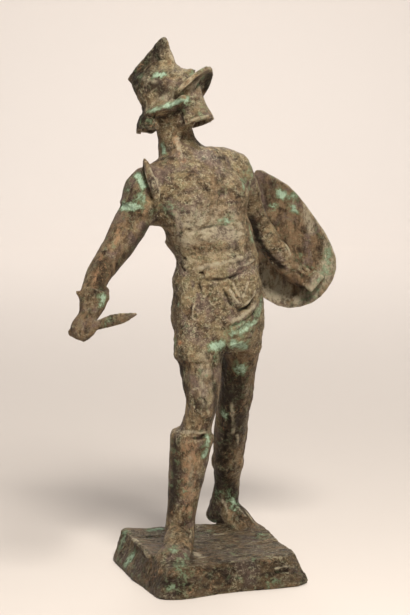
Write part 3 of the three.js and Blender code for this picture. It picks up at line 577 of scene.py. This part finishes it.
STREAK_GAIN = 0.4
DARK_GAIN = 0.9

# Scratches as (lumps to the metre of a noise, half width in its values), strength of the copper and the
# dark ones, the noise's layers, roughness and distortion, its middle, and the core's share of the width
LIGHT_LINES = (240, 0.05)
COPPER_LINES = (150, 0.03)
DARK_LINES = (150, 0.035)
COPPER_LINE_SHARE = 0.6
DARK_LINE_SHARE = 0.5
LINE_NOISE = (3, 0.5, 0.9)
LINE_MIDDLE = 0.5
LINE_CORE = 0.2

# Finish: metalness, what verdigris adds to it and to the roughness, and the level of the mirror; the fine
# relief's depth in metres and its share of the coarser noise
METAL = 0.4
GREEN_METAL = -0.35
GREEN_ROUGHNESS = 0.2
SPECULAR = 0.22
RELIEF_DEPTH = 0.0018
PATCH_RELIEF = 0.6


def view(points):
    """Points of the part's frame as x to the viewer's right, y away from the viewer and z up."""
    c, s = math.cos(VIEW_TURN), math.sin(VIEW_TURN)
    x, y, z = points[:, 0], points[:, 1], points[:, 2]
    return np.stack([x * c - y * s, x * s + y * c, z], axis=1)


def smoothstep(values, low, high):
    """0 below low, 1 above high and a smooth rise between them; high may be the smaller."""
    t = np.clip((values - low) / (high - low), 0, 1)
    return t * t * (3 - 2 * t)


def past(values, name):
    """0 outside one of the bounds of the zones and 1 well inside it."""
    return smoothstep(values, *BOUNDS[name])


def between(share, low, high):
    """Low where the share is 0 and high where it is 1."""
    return low + (high - low) * share


def bell(distance, wide):
    """1 at no distance, falling smoothly to nearly 0 at twice the half width."""
    return np.exp(-((distance / wide) ** 2))


GRADIENTS = np.random.default_rng(SEED).normal(size=(GRADIENT_COUNT, 3))
GRADIENTS /= np.linalg.norm(GRADIENTS, axis=1)[:, None]


def noise(points, size, seed):
    """Smooth noise of about -1 to 1 whose lumps are about as wide as size."""
    p = points / size + SEED_STEP * seed + NOISE_START
    cell = np.floor(p).astype(np.int64)
    f = p - cell
    fade = f * f * f * (f * (f * 6 - 15) + 10)
    total = np.zeros(len(points))
    for corner in itertools.product((0, 1), repeat=3):
        key = (cell + corner) * SCRAMBLE
        key = key[:, 0] ^ key[:, 1] ^ key[:, 2]
        gradient = GRADIENTS[(key ^ (key >> SCRAMBLE_SHIFT)) & (GRADIENT_COUNT - 1)]
        share = np.prod(np.where(corner, fade, 1 - fade), axis=1)
        total += share * ((f - corner) * gradient).sum(axis=1)
    return total * NOISE_GAIN


def layered(points, size, seed):
    """Noise with a finer and weaker copy of itself on top."""
    return sum(noise(points, size / 2 ** k, seed + k) / 2 ** k for k in range(OCTAVES))


def smeared(points, way, along, across, seed):
    """Noise drawn out along a direction, as of clay smeared by a thumb, with some sharp creases."""
    way = np.asarray(way, float) / np.linalg.norm(way)
    squeezed = points + np.outer(points @ way, way) * (across / along - 1)
    bend = np.stack([noise(points, WANDER_SIZE * across, seed + k) for k in range(3)], axis=1)
    places = squeezed + bend * across * WANDER
    creases = CREASE_LEVEL - np.abs(layered(places, across, seed + CREASE_SEED))
    return layered(places, across, seed + SMEAR_SEED) + CREASES * creases


class Surface:
    """The casting's skin while it is modelled: points in mm, four-cornered faces, edges and normals."""

    def __init__(self, mesh):
        self.points = np.zeros(len(mesh.vertices) * 3)
        mesh.vertices.foreach_get("co", self.points)
        self.points = self.points.reshape(-1, 3) / MM
        self.edges = np.zeros(len(mesh.edges) * 2, np.int64)
        mesh.edges.foreach_get("vertices", self.edges)
        self.edges = self.edges.reshape(-1, 2)
        self.faces = np.zeros(len(mesh.polygons) * CORNERS, np.int64)
        mesh.polygons.foreach_get("vertices", self.faces)
        self.faces = self.faces.reshape(-1, CORNERS)
        self.degree = np.bincount(self.edges.ravel(), minlength=len(self.points))
        self.drawn = np.zeros(len(self.points))
        self.update()

    def update(self):
        """Normals of the present points."""
        a, b, c, d = (self.points[self.faces[:, k]] for k in range(CORNERS))
        cross = np.cross(c - a, d - b)
        total = np.zeros_like(self.points)
        for k in range(CORNERS):
            for axis in range(3):
                total[:, axis] += np.bincount(self.faces[:, k], cross[:, axis], len(self.points))
        self.normals = total / np.maximum(np.linalg.norm(total, axis=1), TINY)[:, None]

    def averaged(self, values, rounds, weight=0.5):
        """Values spread over their neighbours, by one weight or one for each point."""
        flat = values.reshape(len(values), -1).copy()
        a, b = self.edges.T
        weight = np.asarray(weight).reshape(-1, 1)
        for _ in range(rounds):
            total = [
                np.bincount(a, column[b], len(flat)) + np.bincount(b, column[a], len(flat))
                for column in flat.T
            ]
            mean = np.stack(total, axis=1) / self.degree[:, None]
            flat += weight * (mean - flat)
        return flat.reshape(values.shape)

    def raise_by(self, heights):
        """Moves every point along its normal."""
        self.points += self.normals * heights[:, None]
        self.update()

    def sight_tree(self):
        """Search tree for lines of sight."""
        return BVHTree.FromPolygons([tuple(p) for p in self.points], self.faces.tolist())

    def point_tree(self):
        """Search tree for the nearest points."""
        tree = KDTree(len(self.points))
        for i, p in enumerate(self.points):
            tree.insert(p, i)
        tree.balance()
        return tree


def depths(surface):
    """How deep the work is below each point, up to the depth of a sturdy part."""
    tree = surface.sight_tree()
    depth = np.full(len(surface.points), THIN[1])
    for i, (p, n) in enumerate(zip(surface.points, surface.normals)):
        hit = tree.ray_cast(Vector(p - n * DEPTH_START), Vector(-n), THIN[1])
        if hit[3] is not None:
            depth[i] = hit[3]
    return surface.averaged(depth, DEPTH_ROUNDS)


def round_facets(surface):
    """Smooths the facets away, but moves no point further than its limit."""
    height = surface.points[:, 2]
    weight = between(surface.sturdy, *SMOOTH_WEIGHTS)
    shift = surface.averaged(surface.points, SMOOTH_ROUNDS, weight) - surface.points
    shift *= smoothstep(height, *FOOT)[:, None]
    length = np.linalg.norm(shift, axis=1)
    limit = FACET_ROUNDING * between(surface.sturdy, THIN_ROUNDING, 1)
    limit *= 1 + HEAD_SOFTNESS * past(height, "head_low")
    surface.points += shift * (limit * np.tanh(length / limit) / np.maximum(length, TINY))[:, None]
    surface.points = surface.averaged(surface.points, *SETTLE_BEFORE)
    surface.update()


def fine_surface():
    """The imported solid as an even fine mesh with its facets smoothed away."""
    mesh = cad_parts[NODE].data.copy()
    piece = bpy.data.objects.new("fine", mesh)
    bpy.context.scene.collection.objects.link(piece)
    weld = piece.modifiers.new("weld", "WELD")
    weld.merge_threshold = WELD_GAP * MM
    remesh = piece.modifiers.new("remesh", "REMESH")
    remesh.mode = "VOXEL"
    remesh.voxel_size = VOXEL * MM
    evaluated = piece.evaluated_get(bpy.context.evaluated_depsgraph_get())
    surface = Surface(bpy.data.meshes.new_from_object(evaluated))
    bpy.data.objects.remove(piece)
    surface.sturdy = smoothstep(depths(surface), *THIN)
    round_facets(surface)
    return surface


def curve(a, b, c, d, t):
    """Place at t, from 0 to 1, on the smooth curve from b to c, with a before it and d after it."""
    return b + t * ((c - a) / 2 + t * (a - 2.5 * b + 2 * c - d / 2 + t * ((3 * b - a - 3 * c + d) / 2)))


class Sight:
    """Lines of sight through pixels of the photograph, stopped by the surface."""

    def __init__(self, surface):
        self.place = np.array(CAMERA_PLACE) / MM
        ahead = np.array(CAMERA_TARGET) / MM - self.place
        self.ahead = ahead / np.linalg.norm(ahead)
        right = np.cross(self.ahead, [0, 0, 1])
        self.right = right / np.linalg.norm(right)
        self.up = np.cross(self.right, self.ahead)
        self.tree = surface.sight_tree()

    def at(self, x, y):
        """Point of the surface behind a pixel and the surface's normal there, or None."""
        across, down = (x - PICTURE[0] / 2) / FOCAL_PIXELS, (y - PICTURE[1] / 2) / FOCAL_PIXELS
        ray = self.ahead + self.right * across - self.up * down
        point, normal, _, _ = self.tree.ray_cast(Vector(self.place), Vector(ray).normalized())
        return None if point is None else (np.array(point), np.array(normal))

    def line(self, pixels):
        """Smooth line on the surface through pixels, with its normals, a point to about a millimetre."""
        pixels = np.asarray(pixels, float)
        places = []
        if len(pixels) > 1:
            run = [2 * pixels[0] - pixels[1], *pixels, 2 * pixels[-1] - pixels[-2]]
            for a, b, c, d in zip(run, run[1:], run[2:], run[3:]):
                steps = max(2, round(np.linalg.norm(c - b)))
                places += [curve(a, b, c, d, t) for t in np.arange(0, 1, 1 / steps)]
        seen = [self.at(*place) for place in [*places, pixels[-1]]]
        kept = [s for s in seen if s is not None]
        if not kept:
            raise ValueError(f"no surface behind {pixels[0]}")
        return np.array([s[0] for s in kept]), np.array([s[1] for s in kept])


def nearest(surface, line, reach):
    """Points of the surface within reach of a line: their indices, distances, sides and places along it."""
    spots, normals = line
    low, high = spots.min(axis=0) - reach, spots.max(axis=0) + reach
    near = np.flatnonzero(np.all((surface.points > low) & (surface.points < high), axis=1))
    gap = surface.points[near][:, None, :] - spots[None]
    distance = np.linalg.norm(gap, axis=2)
    closest = distance.argmin(axis=1)
    distance = distance[np.arange(len(near)), closest]
    facing = (surface.normals[near] * normals[closest]).sum(axis=1)
    inside = (distance < reach) & (facing > SAME_SIDE)
    near, distance, closest = near[inside], distance[inside], closest[inside]
    if len(spots) == 1:
        return near, distance, distance, closest
    along = np.gradient(spots, axis=0)
    aside = np.cross(along, normals)
    aside /= np.maximum(np.linalg.norm(aside, axis=1), TINY)[:, None]
    side = ((surface.points[near] - spots[closest]) * aside[closest]).sum(axis=1)
    return near, distance, side, closest / (len(spots) - 1)


def stroke(surface, sight, pixels, wide, high):
    """An uneven crease (high below 0) or ridge along pixels, with a small lip beside it."""
    near, distance, side, place = nearest(surface, sight.line(pixels), STROKE_REACH * wide)
    spots = surface.points[near]
    distance = np.abs(distance + EDGE_SHARE * wide * noise(spots, *EDGE_WAVES) * np.sign(side))
    shape = bell(distance, wide) - LIP * bell(distance - 2 * wide, wide)
    fade = smoothstep(place, 0, TAPER) * smoothstep(place, 1, 1 - TAPER)
    heights = np.zeros(len(surface.points))
    heights[near] = high * shape * (1 + RISE_SHARE * noise(spots, *RISE_WAVES)) * fade
    surface.drawn += heights
    surface.raise_by(heights)


def swell(surface, sight, pixel, wide, high):
    """A rounded lump or hollow about one pixel."""
    near, distance, _, _ = nearest(surface, sight.line([pixel]), SWELL_REACH * wide)
    heights = np.zeros(len(surface.points))
    heights[near] = high * bell(distance, wide)
    surface.raise_by(heights)


def dabs(surface, chance, seed, count, length, width, high, flat_share, grain):
    """Flattened pellets (high above 0) or tool marks, scattered where chance is high."""
    random = np.random.default_rng(seed)
    picks = random.choice(len(surface.points), count, p=chance / chance.sum())
    tree = surface.point_tree()
    heights = np.zeros(len(surface.points))
    for pick in picks:
        centre, normal = surface.points[pick], surface.normals[pick]
        way = random.normal(size=3)
        if grain is not None:
            way = np.asarray(grain) + DAB_SWAY * way
        along = way - normal * (way @ normal)
        along /= np.linalg.norm(along)
        across = np.cross(normal, along)
        half_long = length * random.uniform(*DAB_SIZES)
        half_wide = width * random.uniform(*DAB_SIZES)
        near = np.array([i for _, i, _ in tree.find_range(Vector(centre), max(half_long, half_wide))])
        gap = surface.points[near] - centre
        u, v = gap @ along / half_long, gap @ across / half_wide
        flat = smoothstep(np.hypot(u, v), 1, flat_share) * (surface.normals[near] @ normal > DAB_SIDE)
        heights[near] += high * random.uniform(*DAB_RISES) * flat * (1 - DAB_SLOPE + DAB_SLOPE * u)
    surface.raise_by(heights)


def zones(surface):
    """Soft masks of the parts of the work."""
    x, y, z = view(surface.points).T
    base = past(z, "base_top")
    front = past(y + SHIELD_SLOPE * (x - SHIELD_MIDDLE), "shield_front")
    shield = front * past(z, "shield_low") * past(z, "shield_top") * past(x, "shield_left")
    head = past(z, "head_low")
    cloth = past(z, "cloth_low") * past(z, "cloth_top") * (1 - shield) * past(x, "cloth_left")
    arms = past(x, "arms_right") * (1 - base) * (1 - head)
    boot = past(z, "boot_top") * (1 - base) * past(y, "boot_back")
    torso = past(z, "torso_low") * (1 - head) * (1 - arms) * (1 - shield)
    legs = (1 - base) * past(z, "legs_top") * (1 - boot) * (1 - arms)
    return {
        "base": base, "shield": shield, "head": head, "cloth": cloth, "arms": arms, "boot": boot,
        "torso": torso, "legs": legs,
    }


def smear(surface, zone, scale, seed):
    """Streaks over the whole surface, each zone's along its own direction."""
    total = np.zeros(len(surface.points))
    for name, (way, along, across, rise) in GRAIN.items():
        near = zone[name] > ZONE_LEAST
        streaks = smeared(surface.points[near], way, along * scale, across * scale, seed)
        total[near] += zone[name][near] * rise * streaks
    return total


def dab_chances(surface, zone, foot_room):
    """How likely a dab is at each point, for each place that the dabs name."""
    body = DABBED_LEAST + sum(share * zone[name] for name, share in DABBED.items())
    body *= (1 - zone["base"]) * between(surface.sturdy, THIN_DABBED, 1)
    return {
        "body": body,
        "upright": zone["boot"] + zone["legs"] + UPRIGHT_LEAST,
        "level": zone["base"] * foot_room + STRAY,
        "cloth": zone["cloth"] + STRAY,
    }


def model_surface(surface):
    """All the relief, from the broad unevenness of the clay to the marks of the tool."""
    zone = zones(surface)
    foot_room = smoothstep(surface.points[:, 2], *FOOT_ROOM)
    firm = foot_room * between(surface.sturdy, THIN_RELIEF, 1)
    broad = BROAD_RISE * layered(surface.points, *BROAD_LUMPS)
    surface.raise_by(firm * (broad + smear(surface, zone, *COARSE_SMEARS)))
    sight = Sight(surface)
    for pixels, wide, high in STROKES:
        stroke(surface, sight, pixels, wide, high)
    for pixel, wide, high in SWELLS:
        swell(surface, sight, pixel, wide, high)
    chances = dab_chances(surface, zone, foot_room)
    for where, *dab in DABS:
        dabs(surface, chances[where], *dab)
    surface.raise_by(foot_room * FINE_SHARE * smear(surface, zone, *FINE_SMEARS))
    surface.points = surface.averaged(surface.points, *SETTLE_AFTER)
    surface.points[:, 2] = np.maximum(surface.points[:, 2], 0)
    surface.update()


def patch(surface, sight, rows):
    """Strength of a colour over the surface, from lines and spots."""
    total = np.zeros(len(surface.points))
    for pixels, wide, strength in rows:
        near, distance, _, _ = nearest(surface, sight.line(pixels), PATCH_REACH * wide)
        total[near] = np.maximum(total[near], strength * bell(distance, wide))
    return total


def levelness(way):
    """1 for a level direction and 0 for an upright one."""
    return 1 - abs(way[2]) / math.hypot(*way)


def marks(surface):
    """Values over the surface that the patina, its painted shade and its painted highlights follow."""
    near = surface.averaged(surface.points, RIDGE_ROUNDS)
    far = surface.averaged(near, BROAD_ROUNDS)
    sight = Sight(surface)
    zone = zones(surface)
    wider_zone = {name: np.sqrt(mask) for name, mask in zone.items()}
    broad = ((near - far) * surface.normals).sum(axis=1)
    return {
        "ridge": ((surface.points - near) * surface.normals).sum(axis=1),
        # Broad hollows, whose darkening is partly dark patina and partly painted shade
        "broad": broad * (1 - SHIELD_SPARED_SHADE * zone["shield"]),
        "away": smoothstep(surface.normals @ -sight.ahead, *AWAY),
        "streak": smear(surface, wider_zone, *STREAKS),
        # Placed colours: verdigris, bare metal with some painted highlights, pale dust with painted light,
        # and painted shade with darker patina and the darker base
        "green": patch(surface, sight, GREEN),
        "warm": patch(surface, sight, BARE_METAL_AND_HIGHLIGHT),
        "pale": patch(surface, sight, PALE_DUST_AND_HIGHLIGHT),
        "dark": np.maximum(patch(surface, sight, SHADE_AND_DARK_PATINA), BASE_DARK * zone["base"]),
        "crust": sum(mask * CRUST[name] for name, mask in zone.items()),
        "drawn": surface.drawn,
        "level": sum(mask * levelness(GRAIN[name][0]) for name, mask in zone.items()),
    }


def finished_piece(surface):
    """The visible casting: the modelled surface in fewer triangles, with its marks."""
    mesh = bpy.data.meshes.new(PIECE)
    mesh.from_pydata(surface.points * MM, [], surface.faces.tolist())
    piece = bpy.data.objects.new(PIECE, mesh)
    bpy.context.scene.collection.objects.link(piece)
    thin = piece.modifiers.new("thin", "DECIMATE")
    thin.ratio = TRIANGLES / (2 * len(surface.faces))
    evaluated = piece.evaluated_get(bpy.context.evaluated_depsgraph_get())
    piece.data = bpy.data.meshes.new_from_object(evaluated)
    piece.modifiers.clear()
    piece.data.name = PIECE
    piece.data.shade_smooth()
    tree = surface.point_tree()
    pairs = [tree.find(v.co / MM)[1] for v in piece.data.vertices]
    for name, values in marks(surface).items():
        attribute = piece.data.attributes.new(name, "FLOAT", "POINT")
        attribute.data.foreach_set("value", values[pairs].astype(np.float32))
    return piece


class Nodes:
    """Short calls for building a node tree."""

    def __init__(self, tree):
        self.tree = tree
        tree.nodes.clear()

    def add(self, kind, inputs=(), output=0, **settings):
        node = self.tree.nodes.new(kind)
        for name, value in settings.items():
            setattr(node, name, value)
        for key, value in dict(inputs).items():
            if isinstance(value, bpy.types.NodeSocket):
                self.tree.links.new(value, node.inputs[key])
            else:
                node.inputs[key].default_value = value
        return node.outputs[output] if node.outputs else node

    def attribute(self, name):
        return self.add("ShaderNodeAttribute", output="Fac", attribute_name=name)

    def noise(self, at, scale, detail, rough, distortion=0.0):
        return self.add("ShaderNodeTexNoise", {
            "Vector": at, "Scale": scale, "Detail": detail, "Roughness": rough, "Distortion": distortion})

    def ramp(self, value, low, high, to_low=0.0, to_high=1.0):
        return self.add("ShaderNodeMapRange", {
            0: value, 1: low, 2: high, 3: to_low, 4: to_high}, interpolation_type="SMOOTHSTEP")

    def coat(self, value, name):
        """Strength of a coat where a value runs through its span."""
        return self.ramp(value, *COATS[name])

    def math(self, operation, *values):
        return self.add("ShaderNodeMath", enumerate(values), operation=operation)

    def times(self, a, b):
        return self.math("MULTIPLY", a, b)

    def mix(self, share, a, b):
        return self.add("ShaderNodeMix", {0: share, 6: a, 7: b}, output=2, data_type="RGBA")

    def blend(self, share, a, b):
        return self.add("ShaderNodeMix", {0: share, 2: a, 3: b}, data_type="FLOAT")

    def scaled(self, colour, factor):
        start = colour[:3] if isinstance(colour, tuple) else colour
        return self.add("ShaderNodeVectorMath", {0: start, 3: factor}, operation="SCALE")

    def lines(self, at, scale, half):
        """Thin winding lines where a noise passes its middle."""
        level = self.noise(at, scale, *LINE_NOISE)
        off = self.math("ABSOLUTE", self.math("SUBTRACT", level, LINE_MIDDLE))
        return self.ramp(off, half, LINE_CORE * half)


def mottling(n, place):
    """The noises that break up the patina, by name."""
    upright = n.add("ShaderNodeMapping", {"Vector": place, "Scale": UPRIGHT})
    level = n.add("ShaderNodeMapping", {"Vector": place, "Scale": LEVEL})
    way = n.attribute("level")
    mottle = {name: n.noise(place, *row) for name, row in MOTTLES.items()}
    for name, row in DRAWN_OUT.items():
        mottle[name] = n.blend(way, n.noise(upright, *row), n.noise(level, *row))
    return mottle


def crust_and_shade(n, mottle):
    """Brown with ochre crust and mauve, darkened by painted shade and darker patina in the dark places and
    by dark clouds, all uneven in tone, and the strength of the crust.
    """
    streak = n.math("MULTIPLY_ADD", n.attribute("streak"), STREAK_GAIN, mottle["cloud"])
    colour = n.mix(n.coat(streak, "brown"), UMBER, BROWN)
    # Darker places: painted shade under and between the parts and over the far leg, and darker patina
    # elsewhere
    shade_and_dark_patina = n.attribute("dark")
    crust = n.times(n.attribute("crust"), n.coat(mottle["blotch"], "crust_in_blotch"))
    crust = n.times(crust, n.coat(shade_and_dark_patina, "crust_in_dark"))
    colour = n.mix(n.times(crust, n.coat(mottle["cloud"], "crust_in_cloud")), colour, OLIVE)
    colour = n.mix(n.coat(mottle["tint"], "mauve"), colour, MAUVE)
    # Darkened there, with the painted shade, and in dark clouds of the patina
    dark = n.math("MULTIPLY_ADD", shade_and_dark_patina, DARK_GAIN, n.coat(mottle["cloud"], "dark_cloud"))
    colour = n.mix(n.coat(dark, "dark"), colour, DEEP)
    tone = n.coat(mottle["tone"], "tone")
    uneven = n.math("MULTIPLY_ADD", tone, n.coat(crust, "tone_in_crust"), 1.0)
    return n.scaled(n.scaled(colour, uneven), n.coat(mottle["grain"], "grain")), crust


def scratched(n, place, mottle, crust, colour):
    """Light scratches in the crust, and copper and dark ones."""
    light = n.times(n.lines(place, *LIGHT_LINES), n.coat(mottle["patch"], "light_in_patch"))
    colour = n.mix(n.times(light, n.coat(crust, "light_in_crust")), colour, GLINT)
    copper = n.times(n.lines(place, *COPPER_LINES), n.coat(mottle["tint"], "copper_in_tint"))
    colour = n.mix(n.times(copper, COPPER_LINE_SHARE), colour, COPPER)
    dark = n.times(n.lines(place, *DARK_LINES), n.coat(mottle["cloud"], "dark_in_cloud"))
    return n.mix(n.times(dark, DARK_LINE_SHARE), colour, DEEP)


def wear_and_painted_light(n, mottle, colour):
    """Glints on the ridges, bare copper and rust with painted highlights, pale dust with painted light, and
    darkening in the hollows and creases that is partly dark patina and partly painted shade.
    """
    ridge = n.attribute("ridge")
    glint = n.times(n.coat(ridge, "ridge"), n.coat(mottle["grain"], "ridge_in_grain"))
    colour = n.mix(glint, colour, GLINT)
    # Copper and rust on bare metal; among them painted highlights on the sword arm and down the boot
    warm = n.times(n.attribute("warm"), n.coat(mottle["tone"], "warm_in_tone"))
    colour = n.mix(n.coat(warm, "copper"), colour, COPPER)
    colour = n.mix(n.coat(warm, "rust"), colour, RUST)
    # Pale dust, and painted light: sheen on the chest and band, highlights, and light in the forearm's
    # shadow
    pale = n.times(n.attribute("pale"), n.coat(mottle["tone"], "pale_in_tone"))
    colour = n.mix(n.coat(pale, "dust_and_painted_light"), colour, DUST_AND_HIGHLIGHT)
    # Darker in the fine hollows: partly dark patina and partly painted shade
    hollow = n.times(n.coat(ridge, "hollow"), n.coat(mottle["grain"], "hollow_in_grain"))
    colour = n.mix(hollow, colour, DEEP)
    drawn = n.attribute("drawn")
    # Paler on the drawn ridges as painted highlights with dust; darker in the drawn creases as painted
    # shade
    crest = n.times(n.coat(drawn, "drawn_ridge"), n.coat(mottle["patch"], "drawn_in_patch"))
    colour = n.mix(crest, colour, DUST_AND_HIGHLIGHT)
    colour = n.mix(n.coat(drawn, "drawn_crease"), colour, DEEP)
    # Darker in broad hollows: partly dark patina and partly painted shade
    return n.mix(n.coat(n.attribute("broad"), "broad_hollow"), colour, DEEP)


def corroded(n, mottle, colour):
    """Verdigris where it is placed, and strewn most on the far side, and its strength."""
    strewn = n.times(n.coat(mottle["strewn"], "strewn"), n.coat(n.attribute("away"), "strewn_away"))
    green = n.math("MAXIMUM", n.attribute("green"), strewn)
    green = n.math("ADD", green, n.coat(mottle["patch"], "green_in_patch"))
    colour = n.mix(n.coat(green, "jade"), colour, JADE)
    turquoise = n.scaled(TURQUOISE, n.coat(mottle["tone"], "turquoise_in_tone"))
    return n.mix(n.coat(green, "turquoise"), colour, turquoise), n.coat(green, "verdigris")


def bronze():
    """Brown patina, finely mottled, with light scratches, rubbed copper and verdigris, and painted shade
    and highlights.
    """
    material = bpy.data.materials.new("bronze_patina_and_painted_light")
    material.use_nodes = True
    n = Nodes(material.node_tree)
    place = n.add("ShaderNodeTexCoord", output="Object")
    mottle = mottling(n, place)
    colour, crust = crust_and_shade(n, mottle)
    colour = scratched(n, place, mottle, crust, colour)
    colour, verdigris = corroded(n, mottle, wear_and_painted_light(n, mottle, colour))
    rough = n.math("MULTIPLY_ADD", verdigris, GREEN_ROUGHNESS, n.coat(mottle["grain"], "roughness"))
    metal = n.math("MULTIPLY_ADD", verdigris, GREEN_METAL, METAL)
    relief = n.math("MULTIPLY_ADD", mottle["patch"], PATCH_RELIEF, mottle["grain"])
    bump = n.add("ShaderNodeBump", {"Strength": 1.0, "Distance": RELIEF_DEPTH, "Height": relief})
    shader = n.add("ShaderNodeBsdfPrincipled", {
        "Base Color": colour, "Roughness": rough, "Metallic": metal, "Specular IOR Level": SPECULAR,
        "Normal": bump})
    n.add("ShaderNodeOutputMaterial", {"Surface": shader})
    return material


def pale():
    """Plain matt finish of the studio."""
    material = bpy.data.materials.new("studio_pale")
    material.use_nodes = True
    shader = material.node_tree.nodes["Principled BSDF"]
    shader.inputs["Base Color"].default_value = SWEEP_COLOUR
    shader.inputs["Roughness"].default_value = SWEEP_ROUGHNESS
    return material


def swept_floor():
    """Pale floor that bends up into a backdrop."""
    bend = SWEEP_DEPTH - SWEEP_RADIUS
    profile = [(-SWEEP_HALF, 0.0), (bend, 0.0)]
    for i in range(1, SWEEP_STEPS + 1):
        turn = math.pi / 2 * i / SWEEP_STEPS
        profile.append((bend + SWEEP_RADIUS * math.sin(turn), SWEEP_RADIUS * (1 - math.cos(turn))))
    profile.append((SWEEP_DEPTH, SWEEP_HEIGHT))
    points = [(x, y, z) for x in (-SWEEP_HALF, SWEEP_HALF) for y, z in profile]
    count = len(profile)
    faces = [(i, i + 1, count + i + 1, count + i) for i in range(count - 1)]
    mesh = bpy.data.meshes.new("sweep")
    mesh.from_pydata(points, [], faces)
    mesh.shade_smooth()
    mesh.materials.append(pale())
    sweep = bpy.data.objects.new("sweep", mesh)
    sweep.rotation_euler.z = -VIEW_TURN
    bpy.context.scene.collection.objects.link(sweep)
    return sweep


def aimed(name, data, place, target):
    """A lamp or camera at a place, turned to a target."""
    thing = bpy.data.objects.new(name, data)
    thing.location = place
    thing.rotation_euler = (Vector(target) - Vector(place)).to_track_quat("-Z", "Y").to_euler()
    bpy.context.scene.collection.objects.link(thing)
    return thing


def lamps():
    """Soft lamps round the statue and one along the backdrop."""
    for name, place, size, power, tint in LAMPS:
        light = bpy.data.lights.new(name, "AREA")
        light.shape = "DISK"
        light.size = size
        light.energy = power
        light.color = tint
        aimed(name, light, place, CAMERA_TARGET)
    wash = bpy.data.lights.new("wall_wash", "AREA")
    wash.shape = "RECTANGLE"
    wash.size, wash.size_y = WASH_SIZE
    wash.energy = WASH_POWER
    turn = Matrix.Rotation(-VIEW_TURN, 3, "Z")
    place = turn @ Vector((0, SWEEP_DEPTH - WASH_ROOM, WASH_HEIGHT))
    aimed("wall_wash", wash, place, turn @ Vector((0, SWEEP_DEPTH, WASH_AIM)))


def studio():
    """Backdrop, lamps, light from all round and the camera of the photograph."""
    sweep = swept_floor()
    lamps()
    world = bpy.data.worlds.new("studio")
    world.use_nodes = True
    background = world.node_tree.nodes["Background"]
    background.inputs["Color"].default_value = WORLD_COLOUR
    background.inputs["Strength"].default_value = WORLD_STRENGTH
    bpy.context.scene.world = world
    lens = bpy.data.cameras.new("camera")
    lens.sensor_width = SENSOR
    lens.lens = SENSOR * FOCAL_PIXELS / max(PICTURE)
    bpy.context.scene.camera = aimed("camera", lens, CAMERA_PLACE, CAMERA_TARGET)
    bpy.context.scene.view_settings.view_transform = "Standard"


studio()
skin = fine_surface()
model_surface(skin)
casting = finished_piece(skin)
casting.data.materials.clear()
casting.data.materials.append(bronze())
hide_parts(NODE)
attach(casting, "root")
